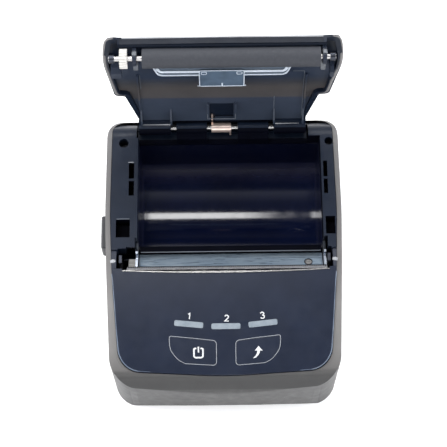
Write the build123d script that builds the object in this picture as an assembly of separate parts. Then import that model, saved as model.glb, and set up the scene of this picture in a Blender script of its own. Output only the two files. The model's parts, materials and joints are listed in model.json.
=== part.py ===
from build123d import *
import math
import os

# Portable receipt printer with a hinged paper cover, standing open as for loading paper.
# Frame: origin on the base plane under the middle of the case, +X right, +Y back, +Z up, mm.
# The cover is drawn closed and then turned back about the hinge axis by OPEN_DEG (rest pose).

os.makedirs("parts", exist_ok=True)

# ---------------------------------------------------------------- driving dimensions
CASE_HALF_W = 55.5        # widest half width of the case
CASE_FRONT = -68.0
CASE_REAR = 66.9
RAIL_Z = 52.0             # side rails beside the paper well
RIM_Z = 51.3              # grey rim round the dark covers
WALL = 2.4
TEAR_Y = -13.6            # tear edge
PANEL_FRONT = -62.3

HINGE_Y = 58.0
HINGE_Z = 50.5
OPEN_DEG = 95.0           # how far back the cover stands at rest
PIN_R = 1.2

WELL_L, WELL_R = -40.2, 46.4   # paper well, left and right walls
WELL_Y, WELL_Z = 26.0, 31.5    # centre of the round bottom of the well
WELL_RAD = 26.0
WELL_T = 1.4

ROLL_Y, ROLL_Z = -7.0, 48.2    # platen axis with the cover closed
ROLL_RAD = 4.4
ROLL_L, ROLL_R = -34.7, 43.3   # rubber, left and right ends
SHAFT_R = 1.25

MOD = 0.4                      # gear module
PLATEN_T, DRIVE_T, SMALL_T, BIG_T, PINION_T = 20, 32, 12, 36, 12
PLANE_A = (-44.5, -41.2)       # platen gear, drive gear, small wheel of the reduction gear
PLANE_B = (-50.6, -49.0)       # large wheel of the reduction gear, motor pinion
MESH_GAP = 0.06                # extra centre distance at each mesh

LATCH_Y, LATCH_Z = -3.2, 35.2  # latch shaft

HEAD_DEG = 20.0                # slope of the print head


def save(name, shape):
    if isinstance(shape, (list, tuple)):
        shape = Compound(children=list(shape))
    export_step(shape, f"parts/{name}.step")


def box(x0, x1, y0, y1, z0, z1):
    return Pos((x0 + x1) / 2, (y0 + y1) / 2, (z0 + z1) / 2) * Box(abs(x1 - x0), abs(y1 - y0), abs(z1 - z0))


def cyl_x(x0, x1, y, z, r):
    return Pos((x0 + x1) / 2, y, z) * Rot(0, 90, 0) * Cylinder(r, abs(x1 - x0))


def cyl_z(x, y, z0, z1, r):
    return Pos(x, y, (z0 + z1) / 2) * Cylinder(r, abs(z1 - z0))


def side(wire_or_points, x0, x1):
    """A profile given in (Y, Z) run from x0 to x1."""
    if isinstance(wire_or_points, (list, tuple)):
        edge = Polyline(*[(0, y, z) for y, z in wire_or_points], close=True)
        face = make_face(edge)
    else:
        face = make_face(wire_or_points)
    solid = extrude(face, amount=x1 - x0, dir=(1, 0, 0))
    return Pos(x0, 0, 0) * solid


def try_fillet(shape, edges, *radii):
    for r in radii:
        try:
            out = fillet(edges, r)
            if out.is_valid and out.volume > 0:
                return out
        except Exception:
            pass
    print("fillet left out", radii)
    return shape


def to_open(shape):
    """Turns a piece of the cover from closed to the rest pose."""
    return shape.rotate(Axis((0, HINGE_Y, HINGE_Z), (1, 0, 0)), -OPEN_DEG)


# ---------------------------------------------------------------- plan outlines
def poly_face(points, radii, axis="xy"):
    """Closed outline of straight runs joined by tangent arcs, one radius for each point."""
    if axis == "xy":
        pts = [(x, y, 0) for x, y in points]
    else:
        pts = [(0, y, z) for y, z in points]
    return make_face(FilletPolyline(*pts, radius=radii, close=True))


def mirrored(pts, radii):
    """Outline given for +X from front to rear, completed for -X."""
    left = [(-x, y) for x, y in reversed(pts) if abs(x) > 1e-6]
    lr = [r for (x, y), r in zip(reversed(pts), reversed(radii)) if abs(x) > 1e-6]
    return pts + left, list(radii) + lr


def case_plan(inset=0.0):
    """Outline of the case seen from above: sides that close in a little to the front, bowed ends."""
    i = inset
    pts = [(0, CASE_FRONT + i), (52.5 - i, CASE_FRONT + 3.0 + i), (55.3 - i, 14.0), (54.9 - i, CASE_REAR - 0.8 - i)]
    p, r = mirrored(pts, [260, 12.6 - i, 300, 13.0 - i])
    return poly_face(p, r)


def cover_plan(inset=0.0):
    """Outline of the opening in the grey rim that the dark covers fill."""
    i = inset
    pts = [(0, PANEL_FRONT + i), (48.4 - i, PANEL_FRONT + 2.4 + i), (51.6 - i, -20.0), (53.1 - i, 14.0), (52.5 - i, 64.2 - i)]
    p, r = mirrored(pts, [240, 11.0 - i * 0.5, 200, 200, 8.5 - i * 0.5])
    return poly_face(p, r)


def solid_of(face, z0, z1):
    return Pos(0, 0, z0) * extrude(face, amount=z1 - z0, dir=(0, 0, 1))


# ---------------------------------------------------------------- side profiles (Y, Z)
def case_profile(inset=0.0, floor=0.0):
    i = inset
    pts = [(-65.0 + i, floor), (-67.9 + i, 9.0), (-67.9 + i, 31.0), (-61.4 + i * 0.6, 42.3 - i), (-14.0, RIM_Z - i),
           (65.1 - i, RIM_Z - i), (66.9 - i, 22.0), (63.5 - i, floor)]
    return poly_face(pts, [0.5, 18, 16, 5.0, 60, 14.0, 30, 0.5], "yz")


def side_face(face, half=70.0):
    return extrude(Pos(-half, 0, 0) * face, amount=2 * half, dir=(1, 0, 0))


def panel_z(y):
    """Height of the control panel's outside at its middle, a slightly crowned slope."""
    t = (y - PANEL_FRONT) / (TEAR_Y - PANEL_FRONT)
    return 42.4 + 11.7 * t + 3.0 * t * (1 - t) * 0.9


# ================================================================ CASE
outer = solid_of(case_plan(), -1, 60) & side_face(case_profile())
rim_edges = [e for e in outer.edges() if e.center().Z > 38 and e.length > 20 and abs(e.center().X) > 30]
outer = try_fillet(outer, rim_edges, 2.6, 2.0, 1.4)
base_edges = [e for e in outer.edges() if e.center().Z < 0.3]
outer = try_fillet(outer, base_edges, 1.8, 1.2, 0.8)

hollow = solid_of(case_plan(WALL), 2.2, 60) & side_face(case_profile(WALL, 2.2))
base_shell = outer - hollow
base_shell -= solid_of(cover_plan(), 37.0, 62)                       # opening for the dark covers
base_shell -= box(-41.2, 41.2, 52.0, 70, 45.4, 62)                   # room for the cover's hinge barrel
# battery door opening, with a ledge
DOOR = (-38.0, 38.0, -60.0, -20.0)
base_shell -= box(DOOR[0], DOOR[1], DOOR[2], DOOR[3], -1, 3)
# side opening of the release button
REL_Y0, REL_Y1, REL_Z0, REL_Z1 = 0.6, 17.0, 29.5, 41.5
base_shell -= box(-60, -50, REL_Y0 - 0.25, REL_Y1 + 0.25, REL_Z0 - 0.25, REL_Z1 + 0.25)
# ports in the right wall
USB_Y, USB_Z = -25.5, 13.25
DC_Y, DC_Z = -38.0, 14.5
base_shell -= box(48, 60, USB_Y - 4.2, USB_Y + 4.2, USB_Z - 2.5, USB_Z + 2.5)
base_shell -= cyl_x(48, 60, DC_Y, DC_Z, 3.4)
# screw bosses of the floor, four, with through holes
BOSS = [(-45.5, 58.8), (45.5, 58.8), (-44.5, -54.0), (44.5, -54.0)]
for bx, by in BOSS:
    base_shell += cyl_z(bx, by, 1.5, 30.0, 3.4)
    base_shell -= cyl_z(bx, by, -1, 31, 1.35)
    base_shell -= cyl_z(bx, by, -1, 2.4, 2.9)
# posts under the two rail screws
RAIL_SCREW = ((-47.0, 49.7, 3.0), (50.5, 49.7, 2.3))
for hx, hy_, hr in RAIL_SCREW:
    base_shell += cyl_z(hx, hy_, 1.5, 41.8, hr)
    base_shell -= cyl_z(hx, hy_, 34.0, 43.0, 1.2)
# screw tabs inside the battery door's ends
for sgn in (-1, 1):
    base_shell += box(sgn * 32.9, sgn * 41.5, -57.6, -52.4, 2.3, 5.2) + box(sgn * 38.0, sgn * 41.5, -57.6, -52.4, 1.5, 5.2)
    base_shell -= cyl_z(sgn * 35.2, -55.0, 2.0, 6.0, 1.1)
# side grip grooves low on both walls
for sgn in (-1, 1):
    for k in range(4):
        y = -20 + 5 * k
        base_shell -= box(sgn * 60, sgn * (CASE_HALF_W - 0.9 - 0.02 * k), y - 0.7, y + 0.7, 12, 34)
base_shell = base_shell.solids().sort_by(SortBy.VOLUME)[-1]
save("base_shell", base_shell)

# battery cover in the floor with its two screws
bc = box(DOOR[0] + 0.3, DOOR[1] - 0.3, DOOR[2] + 0.3, DOOR[3] - 0.3, 0, 2.2)
bc = try_fillet(bc, [e for e in bc.edges().filter_by(Axis.Z)], 2.0)
for gx in range(-3, 4):
    bc -= box(gx * 5 - 0.6, gx * 5 + 0.6, -29, -24, -1, 0.5)
for sx in (-35.2, 35.2):
    bc -= cyl_z(sx, -55, -1, 3, 1.1)
    bc -= cyl_z(sx, -55, -1, 1.2, 2.2)
save("battery_cover", bc)


def screw(x, y, z_head, length, head_r, r, up=True, cross=0.9):
    """Pan head screw along Z. up: the head is at the lower end and the shank goes up."""
    s = 1 if up else -1
    head = cyl_z(x, y, z_head, z_head + s * 1.0, head_r)
    shank = cyl_z(x, y, z_head + s * 0.95, z_head + s * length, r)
    slot_d = 0.6
    z0, z1 = sorted((z_head - s * 0.01, z_head + s * slot_d))
    body = head + shank
    body -= box(x - head_r * 0.6, x + head_r * 0.6, y - 0.22, y + 0.22, z0, z1)
    body -= box(x - 0.22, x + 0.22, y - head_r * 0.6, y + head_r * 0.6, z0, z1)
    return body


save("battery_cover_screws", [screw(sx, -55, 0.2, 4.8, 2.0, 1.0) for sx in (-35.2, 35.2)])
save("case_screws", [screw(bx, by, 1.2, 20.0, 2.6, 1.3) for bx, by in BOSS])

# battery pack: two cells side by side in a sleeve
cells = Compound(children=[cyl_x(-30, 30, -51.0, 12.2, 9.0), cyl_x(-30, 30, -32.4, 12.2, 9.0)])
sleeve = box(-32.3, 32.3, -60.6, -22.8, 2.5, 21.9)
sleeve = try_fillet(sleeve, sleeve.edges().filter_by(Axis.X), 6.0, 3.0)
sleeve -= cyl_x(-30.1, 30.1, -51.0, 12.2, 9.04)
sleeve -= cyl_x(-30.1, 30.1, -32.4, 12.2, 9.04)
save("battery_sleeve", sleeve)
save("battery_cells", list(cells.solids()))
save("battery_contacts", [box(x - 1.6, x + 1.6, -22.7, -21.4, 5, 12) for x in (-24, -18, -12)])

# ================================================================ ROLL FRAME (side rails, rear shoulders, hinge knuckles)
plate_profile_top = poly_face([(-4.4, 44.0), (-4.4, RAIL_Z), (57.2, RAIL_Z), (61.9, 45.6), (61.1, 44.0)],
                              [0.05, 0.6, 9.0, 0.6, 0.05], "yz")
frame = side_face(plate_profile_top) & solid_of(cover_plan(0.25), 40, 62)
top_e = [e for e in frame.edges() if e.center().Z > 46.2 and abs(e.center().X) > 50 and e.length > 6]
frame = try_fillet(frame, top_e, 0.8, 0.5)
# hollow it from below, leaving a 2.2 mm skin
under = poly_face([(-2.2, 43.0), (-2.2, RAIL_Z - 2.2), (56.0, RAIL_Z - 2.2), (59.7, 44.8), (59.1, 43.0)],
                  [0.05, 0.3, 7.5, 0.3, 0.05], "yz")
frame -= side_face(under) & solid_of(cover_plan(2.4), 40, 62)
# walls round the well
well_wall = box(WELL_L - 1.6, WELL_R + 1.6, -1.6, 54.0, 44.0, 51.0)
frame += well_wall & solid_of(cover_plan(0.25), 40, 62)
frame -= box(WELL_L, WELL_R, -10, 52.6, 40, 60)
frame -= box(-41.3, 48.3, -10, 1.6, 40, 60)             # room for the chassis ears
frame -= box(-45.3, -40.5, -10, -1.6, 40, 50.3)         # room for the platen gear below the rail's edge
frame -= box(-45.3, -40.5, -10, -2.9, 40, 60)
frame -= box(-49.2, -45.3, -10, -3.6, 40, 60)           # and for the hooks
frame -= box(47.6, 49.9, -10, -3.6, 40, 60)
frame -= box(-40.9, 40.9, 52.4, 70, 45.9, 60)          # hinge recess
# square guide pockets for the cover's tongues, each a closed cup
for x0, x1, y0, y1 in ((-50.1, -43.6, 1.9, 10.7), (47.6, 52.0, 2.6, 11.3)):
    if x0 < 0:
        cup = box(x0 - 1.1, x1 + 1.1, y0 - 1.1, y1 + 1.1, 43.0, 51.0)
    else:
        cup = box(x0 - 0.9, x1 + 0.6, y0 - 1.1, y1 + 1.1, 44.0, 51.0)
    frame += cup & solid_of(cover_plan(0.25), 40, 62)
    frame -= box(x0, x1, y0, y1, 45.0, 60)
# long narrow snap slots with a cross bar
for x0, x1 in ((-44.4, -41.9), (47.4, 49.3)):
    frame -= box(x0, x1, 22.8, 30.2, 45, 60)
    frame -= box(x0, x1, 31.4, 39.4, 45, 60)
# screw holes at the back of the rails
for hx, _y, hr in RAIL_SCREW:
    frame += cyl_z(hx, 49.7, 42.0, 50.0, hr) & solid_of(cover_plan(0.25), 40, 62)
    frame -= cyl_z(hx, 49.7, 44.5, 60, min(2.3, hr - 0.25))
    frame -= cyl_z(hx, 49.7, 40, 60, 1.3)
# hinge knuckles that belong to the case
for x0, x1 in ((-21.9, -7.4), (7.4, 21.9)):
    kn = cyl_x(x0, x1, HINGE_Y, HINGE_Z, 3.0)
    kn += box(x0, x1, 52.0, HINGE_Y - 1.15, 44.2, HINGE_Z)
    kn -= cyl_x(x0 - 1, x1 + 1, HINGE_Y, HINGE_Z, PIN_R + 0.02)
    frame += kn
# floor of the hinge recess between rail blocks
frame += box(-40.6, 40.6, 52.0, 62.0, 44.0, 45.2)
frame = frame.solids().sort_by(SortBy.VOLUME)[-1]
save("roll_frame", frame)

# small black screws down the rail holes
save("rail_screws", [screw(hx, 49.7, 45.6, 9.6, 1.9, 1.1, up=False) for hx, _y, _r in RAIL_SCREW])

# ================================================================ PAPER WELL (glossy curved tray with end walls)
def well_profile(r, top_front, top_rear, lip=0.0):
    pts = []
    a = make_face([
        Polyline((0, WELL_Y - r, WELL_Z), (0, WELL_Y - r, top_front), (0, WELL_Y + r, top_rear), (0, WELL_Y + r, WELL_Z)),
        ThreePointArc((0, WELL_Y + r, WELL_Z), (0, WELL_Y, WELL_Z - r), (0, WELL_Y - r, WELL_Z)),
    ])
    return a


def well_solid(r, x0, x1, tf, tr):
    return Pos(x0, 0, 0) * extrude(well_profile(r, tf, tr), amount=x1 - x0, dir=(1, 0, 0))


well = well_solid(WELL_RAD + WELL_T, WELL_L - 1.4, WELL_R + 1.4, 43.8, 43.8)
well -= well_solid(WELL_RAD, WELL_L + 0.9, WELL_R - 0.9, 60, 60)
# the end walls lean out a little towards the mouth
well -= extrude(make_face(Polyline((WELL_L + 0.9, 0, 4.0), (WELL_L + 0.05, 0, 44), (WELL_R - 0.05, 0, 44), (WELL_R - 0.9, 0, 4.0), close=True)),
                amount=60, dir=(0, 1, 0)) & well_solid(WELL_RAD, WELL_L - 1.2, WELL_R + 1.2, 60, 60)
# front lip that the paper runs over
well += box(WELL_L + 0.9, WELL_R - 0.9, -1.4, 0.0, 40.0, 44.6)
well += box(WELL_L + 0.9, WELL_R - 0.9, -3.2, -1.3, 43.7, 44.6)
lip_e = [e for e in well.edges().filter_by(Axis.X) if e.center().Z > 44.4 and e.center().Y < 1]
well = try_fillet(well, lip_e, 0.5, 0.3)
# hole for the paper-out sensor
SENS_X, SENS_A = -17.0, math.radians(-125)
sy, sz = WELL_Y + (WELL_RAD) * math.cos(SENS_A), WELL_Z + (WELL_RAD) * math.sin(SENS_A)
hole = Pos(SENS_X, sy, sz) * Rot(-35, 0, 0) * Cylinder(1.1, 8)
well -= hole
well = well.solids().sort_by(SortBy.VOLUME)[-1]
save("paper_well", well)
sens = Pos(SENS_X, sy, sz) * Rot(-35, 0, 0) * (Pos(0, 0, -0.9) * Cylinder(0.95, 1.4))
save("paper_sensor", sens)

LEDGE_L, LEDGE_R = -46.7, 48.3      # steel ledge in front of the tear teeth
LEDGE_END, LEDGE_MID = -15.3, -16.6


def ledge_plan(grow, z0, z1, back=-13.0, front=0.0):
    """Prism between the bowed front line of the ledge and a straight line behind it."""
    g = grow
    xm = (LEDGE_L + LEDGE_R) / 2
    arc = ThreePointArc((LEDGE_L - g, LEDGE_END - g + front), (xm, LEDGE_MID - g + front), (LEDGE_R + g, LEDGE_END - g + front))
    rest = Polyline((LEDGE_R + g, LEDGE_END - g + front), (LEDGE_R + g, back), (LEDGE_L - g, back), (LEDGE_L - g, LEDGE_END - g + front))
    return Pos(0, 0, z0) * extrude(make_face([arc, rest]), amount=z1 - z0, dir=(0, 0, 1))


# ================================================================ CONTROL PANEL
pts = [(y, panel_z(y)) for y in (PANEL_FRONT - 1.5, -50, -38, -26, TEAR_Y - 0.55)]
def panel_arc(off):
    (ya, za), (ym, zm), (yb, zb) = pts[0], pts[2], pts[-1]
    return ThreePointArc((0, ya, za + off), (0, ym, zm + off), (0, yb, zb + off))


def panel_layer(up, down):
    t, b_ = panel_arc(up), panel_arc(-down)
    return make_face([t, Line(t @ 1, b_ @ 1), b_, Line(b_ @ 0, t @ 0)])


prof = panel_layer(0.0, 2.2)
panel = side_face(prof) & solid_of(cover_plan(0.25), 35, 62)
# wings beside the tear edge
wing_prof = make_face(Polyline((0, TEAR_Y - 1.0, 50.2), (0, TEAR_Y - 1.0, panel_z(TEAR_Y - 1.0)), (0, -8.2, 53.0), (0, -4.9, 52.0), (0, -4.9, 49.6), close=True))
wings = side_face(wing_prof) & solid_of(cover_plan(0.25), 35, 62)
wings -= box(-49.6, 50.2, -16, 0, 40, 60)
panel += wings
pe = [e for e in panel.edges() if e.length > 12 and e.center().Z > 41.5 and (abs(e.center().X) > 44 or e.center().Y < -58)
      and abs(e.center().Z - panel_z(e.center().Y)) < 0.9]
panel = try_fillet(panel, pe, 0.9, 0.6, 0.4)
# skirt
skirt = (solid_of(cover_plan(0.25), 34, 62) - solid_of(cover_plan(1.7), 33, 63)) & side_face(
    make_face(Polyline((0, PANEL_FRONT + 0.2, 37.5), (0, PANEL_FRONT + 0.2, 41.4), (0, TEAR_Y - 1.2, 51.6), (0, TEAR_Y - 1.2, 46.0), close=True)))
panel += skirt


def on_panel(sketch_faces, depth_up, depth_down):
    """Raises flat sketch faces (drawn in XY) into prisms through the panel."""
    return [Pos(0, 0, 30) * extrude(f, amount=35, dir=(0, 0, 1)) for f in sketch_faces]


# button outlines: straight inner side, round outer lower corner
def button_face(sgn, grow=0.0):
    g = grow
    x_in, x_out = (4.0 if sgn < 0 else 5.0), 25.2
    # top edge rises a little to the outside, lower edge falls away to the outside corner
    p1 = (sgn * (x_in - g), -46.9 + g)
    p2 = (sgn * (x_out + g), -44.6 + g)
    p3 = (sgn * (x_out + g), -47.4)
    p4 = (sgn * (18.0), -56.6 - g)
    p5 = (sgn * (x_in - g), -57.6 - g)
    e1 = Line(p1, p2)
    e2 = Line(p2, p3)
    e3 = Spline(p3, (sgn * (23.1 + g * 0.8), -52.9 - g * 0.6), p4, tangents=[(0, -1), (-sgn * 1.0, -0.22)])
    e4 = Line(p4, p5)
    e5 = Line(p5, p1)
    f = make_face([e1, e2, e3, e4, e5])
    vs = [v for v in f.vertices() if abs(abs(v.X) - (x_in - g)) < 0.01]
    f = fillet(vs, 1.8 + g)
    f = f.faces()[0] if not isinstance(f, Face) else f
    vs = [v for v in f.vertices() if abs(abs(v.X) - (x_out + g)) < 0.01 and v.Y > -45.5]
    f = fillet(vs, 0.9)
    return f.faces()[0] if not isinstance(f, Face) else f


def led_face(cx, cy, half_l, half_h, deg, g=0.0):
    f = Rectangle(2 * (half_l + g), 2 * (half_h + g))
    f = fillet(f.vertices(), 0.7)
    f = Pos(cx, cy, 0) * Rot(0, 0, deg) * f
    return f.faces()[0]


LEDS = {"led_window_left": (-16.4, -39.4, 6.6, 1.27, -5.5), "led_window_middle": (0.5, -40.5, 6.6, 1.27, 0.0),
        "led_window_right": (17.4, -39.4, 6.6, 1.27, 5.5)}
for name, (cx, cy, hl, hh, deg) in LEDS.items():
    panel -= on_panel([led_face(cx, cy, hl, hh, deg, 0.05)], 0, 0)[0]
for sgn in (-1, 1):
    panel -= on_panel([button_face(sgn, 0.22)], 0, 0)[0]
panel -= ledge_plan(0.12, 50.5, 60.0)
panel = panel.solids().sort_by(SortBy.VOLUME)[-1]
save("control_panel", panel)

# windows and buttons follow the crowned slope of the panel
def cap(face, up, down, x=0.0):
    body = Pos(0, 0, 30) * extrude(face, amount=35, dir=(0, 0, 1))
    pr = panel_layer(up, down)
    return (body & side_face(pr)).solids()[0]


for name, (cx, cy, hl, hh, deg) in LEDS.items():
    save(name, cap(led_face(cx, cy, hl, hh, deg), 0.05, 3.0))
for sgn, name in ((-1, "power_button"), (1, "feed_button")):
    b = cap(button_face(sgn), 0.12, 2.9)
    te = [e for e in b.edges() if abs(e.center().Z - panel_z(e.center().Y) - 0.12) < 0.35]
    b = try_fillet(b, te, 0.3, 0.2)
    # plunger down to the switch
    cx = sgn * 14.0
    b += cyl_z(cx, -51.0, panel_z(-51) - 3.86, panel_z(-51) - 2.0, 1.6)
    save(name, b.solids().sort_by(SortBy.VOLUME)[-1])

# ================================================================ CIRCUIT BOARD, parallel to the panel
SLOPE = math.degrees(math.atan2(panel_z(-36) - panel_z(-60), 24))


def board_frame(x, y, h):
    """A place on the board: x, y along the slope from (0, -48), h above its top."""
    return Pos(0, -48, panel_z(-48) - 6.6) * Rot(SLOPE, 0, 0) * Pos(x, y, h)


pcb = board_frame(0, 0, -0.8) * Box(84, 21, 1.6)
for cx, cy in ((-38, -7), (38, -7), (-38, 7), (38, 7)):
    pcb -= board_frame(cx, cy, -0.8) * Cylinder(1.4, 4)
save("main_board", pcb)
save("tact_switches", [board_frame(sx, -3.2, 0.75) * Box(5, 5, 1.5) for sx in (-14, 14)])
save("led_chips", [board_frame(x, 6.8, 0.4) * Box(3.2, 1.6, 0.8) for x in (-16.4, 0.5, 17.4)])
chips = [board_frame(-30, 1, 0.6) * Box(9, 9, 1.2), board_frame(31, 1, 0.6) * Box(8, 8, 1.2), board_frame(31, -7, 0.5) * Box(6, 3, 1.0)]
save("board_chips", chips)

# ports on a small board at the right wall
pb = box(37.5, 49.9, -44.0, -20.0, 9.6, 11.0)
save("port_board", pb)
usb = box(43.5, 50.6, USB_Y - 3.9, USB_Y + 3.9, 11.05, 11.05 + 4.4)
usb -= box(45.0, 53, USB_Y - 3.3, USB_Y + 3.3, 11.65, 14.85)
usb += box(45.0, 50.6, USB_Y - 2.4, USB_Y + 2.4, 13.2, 13.9)
save("usb_socket", usb)
dc = box(40.0, 50.2, DC_Y - 4.2, DC_Y + 4.2, 11.05, 18.0)
dc -= cyl_x(42.0, 53, DC_Y, DC_Z, 2.8)
dc += cyl_x(41.5, 49.8, DC_Y, DC_Z, 0.8)
save("charging_jack", dc)

# ================================================================ MECHANISM: chassis, head, tear bar
def head_place(a, b):
    """(Y, Z) of a point: a along the head's slope from the tear edge down and back, b out of its face."""
    r = math.radians(HEAD_DEG)
    return (-12.4 + a * math.cos(r) + b * math.sin(r), 45.31 - a * math.sin(r) + b * math.cos(r))


HEAD_L, HEAD_R = -39.6, 46.1


def slab(x0, x1, a0, a1, b0, b1):
    return side([head_place(a0, b0), head_place(a1, b0), head_place(a1, b1), head_place(a0, b1)], x0, x1)


heat = slab(HEAD_L, HEAD_R, 0.0, 10.3, -2.4, -0.65)
heat += slab(HEAD_L, HEAD_R, 0.6, 1.8, -4.0, -1.0)
hy, hz = head_place(4.4, 0)
for sx in (39.4,):
    heat -= Pos(sx, hy, hz) * Rot(-HEAD_DEG, 0, 0) * Cylinder(1.1, 12)
save("head_heatsink", heat)
cer = slab(HEAD_L + 0.3, HEAD_R - 0.3, 0.3, 9.9, -0.65, 0.0)
for sx in (39.4,):
    cer -= Pos(sx, hy, hz) * Rot(-HEAD_DEG, 0, 0) * Cylinder(1.95, 12)
save("thermal_head", cer)
save("heater_line", slab(HEAD_L + 4.6, HEAD_R - 10.0, 3.65, 4.65, 0.0, 0.08))


def head_screw(sx):
    s = Pos(0, 0, -0.38) * Cylinder(1.6, 0.5) + Pos(0, 0, -1.9) * Cylinder(1.0, 3.2)
    s -= Pos(0, 0, -0.2) * Box(2.2, 0.4, 0.5)
    s -= Pos(0, 0, -0.2) * Box(0.4, 2.2, 0.5)
    y, z = head_place(4.4, 0.0)
    return Pos(sx, y, z) * Rot(-HEAD_DEG, 0, 0) * s


save("head_screws", head_screw(39.4))

# tear bar: thin steel strip with 1 mm teeth
TB_L, TB_R = -44.6, 47.4
web = box(TB_L, TB_R, -14.9, -14.4, 46.6, 53.7)
# teeth lean back over the paper path
RAKE = math.degrees(math.atan2(0.66, 1.2))
teeth = [(TB_L, -0.35), (TB_R, -0.35), (TB_R, 0.55)]
for i in range(int(TB_R - TB_L)):
    x = TB_R - i * 1.0
    teeth += [(x - 0.5, 1.38), (x - 1.0, 0.55)]
blade = extrude(make_face(Polyline(*[(x, a, 0) for x, a in teeth], close=True)), amount=0.35, dir=(0, 0, 1))
blade = Pos(0, -14.5, 53.42) * Rot(RAKE, 0, 0) * blade
tb = web + blade
tb += ledge_plan(0.0, 52.3, 52.8, -14.6)
tb += ledge_plan(0.0, 52.3, 53.95, -14.95) - ledge_plan(0.6, 50.0, 60.0, -10.0, 1.1)
save("tear_bar", tb)

# chassis: cross web under the head, two side plates with seats for the platen bushes
SEAT = 2.62
def seat_plate(x0, x1):
    p = side([(-14.3, 30), (-14.3, 50.2), (-9.6, 50.2), (-9.6, 49.9), (-4.4, 49.9), (-2.0, 47.6), (1.2, 46.4), (1.2, 44.95), (-1.7, 44.95), (-1.7, 30)], x0, x1)
    p -= cyl_x(x0 - 1, x1 + 1, ROLL_Y, ROLL_Z, 1.5)
    p -= box(x0 - 1, x1 + 1, ROLL_Y - 1.5, ROLL_Y + 1.5, ROLL_Z, 60)
    return p


chassis = seat_plate(-40.9, -39.9) + seat_plate(46.4, 47.4)
chassis += box(-40.9, 47.4, -14.3, -13.5, 39.0, 51.4)
chassis += box(-40.9, 47.4, -14.3, -7.0, 36.4, 37.2)
chassis += box(-40.9, 47.4, -14.3, -13.5, 36.4, 40.0)
chassis -= box(-50, 50, -13.5, -12.9, 46.4, 60)

# gear centres
def toward(p, q, d):
    l = math.hypot(q[0] - p[0], q[1] - p[1])
    return (p[0] + (q[0] - p[0]) * d / l, p[1] + (q[1] - p[1]) * d / l)


P_C = (ROLL_Y, ROLL_Z)
F_C = toward(P_C, (-11.4, 38.7), MOD * (PLATEN_T + DRIVE_T) / 2 + MESH_GAP)
G_C = toward(F_C, (-19.4, 34.8), MOD * (DRIVE_T + SMALL_T) / 2 + MESH_GAP)
M_C = toward(G_C, (-28.1, 30.6), MOD * (BIG_T + PINION_T) / 2 + MESH_GAP)
# gear side plate beside the chassis, carrying both axles and the motor
gp = side([(-38.0, 22.6), (-38.0, 40.2), (-24.0, 45.0), (-13.6, 45.0), (-13.6, 33.6), (-6.2, 33.6), (-6.2, 30.2), (-16.0, 30.2), (-18.0, 22.6)], -40.9, -39.9)
chassis = chassis + gp
for (cy, cz) in (F_C, G_C):
    chassis += cyl_x(-40.9, -39.9, cy, cz, 2.4)
chassis -= cyl_x(-42, -39, M_C[0], M_C[1], 3.2)
chassis -= cyl_x(-42, -39, F_C[0], F_C[1], 1.02)
chassis -= cyl_x(-42, -39, G_C[0], G_C[1], 1.02)
# latch shaft holes in small ears
for x0, x1 in ((-40.9, -39.9), (46.4, 47.4)):
    chassis -= cyl_x(x0 - 1, x1 + 1, LATCH_Y, LATCH_Z, PIN_R + 0.05)
chassis = chassis.solids().sort_by(SortBy.VOLUME)[-1]
save("mechanism_chassis", chassis)
save("gear_axles", [cyl_x(-45.7, -39.9, F_C[0], F_C[1], 1.0), cyl_x(-51.3, -39.9, G_C[0], G_C[1], 1.0)])


def spring_solid(x, y, z, radius, wire, height, turns, rot):
    pitch = height / turns
    h = Helix(pitch=pitch, height=height, radius=radius)
    start = h @ 0
    tan = h % 0
    prof = Plane(origin=start, z_dir=tan) * Circle(wire)
    s = sweep(prof, path=h, is_frenet=True)
    return Pos(x, y, z) * rot * s


hs = []
for sx in (-22.0, 28.0):
    y, z = head_place(5.4, -2.75)
    hs.append(spring_solid(sx, y, z, 1.7, 0.28, 3.0, 3, Rot(180 - HEAD_DEG, 0, 0)))
save("head_springs", hs)

# flat cable from the head to the board
fl = side([(-14.4, 41.6), (-14.4, 42.0), (-20.5, 43.4), (-36.6, 42.2), (-36.6, 41.85), (-20.5, 43.0), (-14.7, 41.6)], -15, 20)
save("head_flat_cable", fl)

# stepper motor
motor = cyl_x(-39.8, -24.0, M_C[0], M_C[1], 8.0)
motor = try_fillet(motor, [e for e in motor.edges() if e.center().X > -25], 1.0)
motor += cyl_x(-39.9, -39.0, M_C[0], M_C[1], 3.0)
motor += box(-39.85, -39.0, M_C[0] - 10.5, M_C[0] + 10.5, M_C[1] - 3.5, M_C[1] + 3.5)
save("stepper_motor", motor)


# ================================================================ GEARS
def gear(teeth, x0, x1, c, phase_deg, bore, backlash=0.10):
    """Straight-sided approximation of involute teeth. phase_deg is where a tooth points, from +Y towards +Z."""
    rp = MOD * teeth / 2
    ra, rf = rp + MOD * 0.95, rp - MOD * 1.2
    pitch = 2 * math.pi / teeth
    half = (math.pi * MOD / 2 - backlash) / 2 / rp       # half tooth angle at the pitch circle
    pts = []
    for k in range(teeth):
        a = math.radians(phase_deg) + k * pitch
        dr = math.radians(20)
        w_root = half + (rp - rf) * math.tan(dr) / rp * 0.92
        w_tip = max(half - (ra - rp) * math.tan(dr) / rp * 1.15, half * 0.25)
        w_root = min(w_root, pitch / 2 * 0.93)
        for ang, r in ((a - w_root, rf), (a - half, rp), (a - w_tip, ra), (a + w_tip, ra), (a + half, rp), (a + w_root, rf)):
            pts.append((c[0] + r * math.cos(ang), c[1] + r * math.sin(ang)))
    g = side(pts, x0, x1)
    if bore:
        g -= cyl_x(x0 - 1, x1 + 1, c[0], c[1], bore)
    return g


def ang(p, q):
    return math.degrees(math.atan2(q[1] - p[1], q[0] - p[0]))


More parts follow.
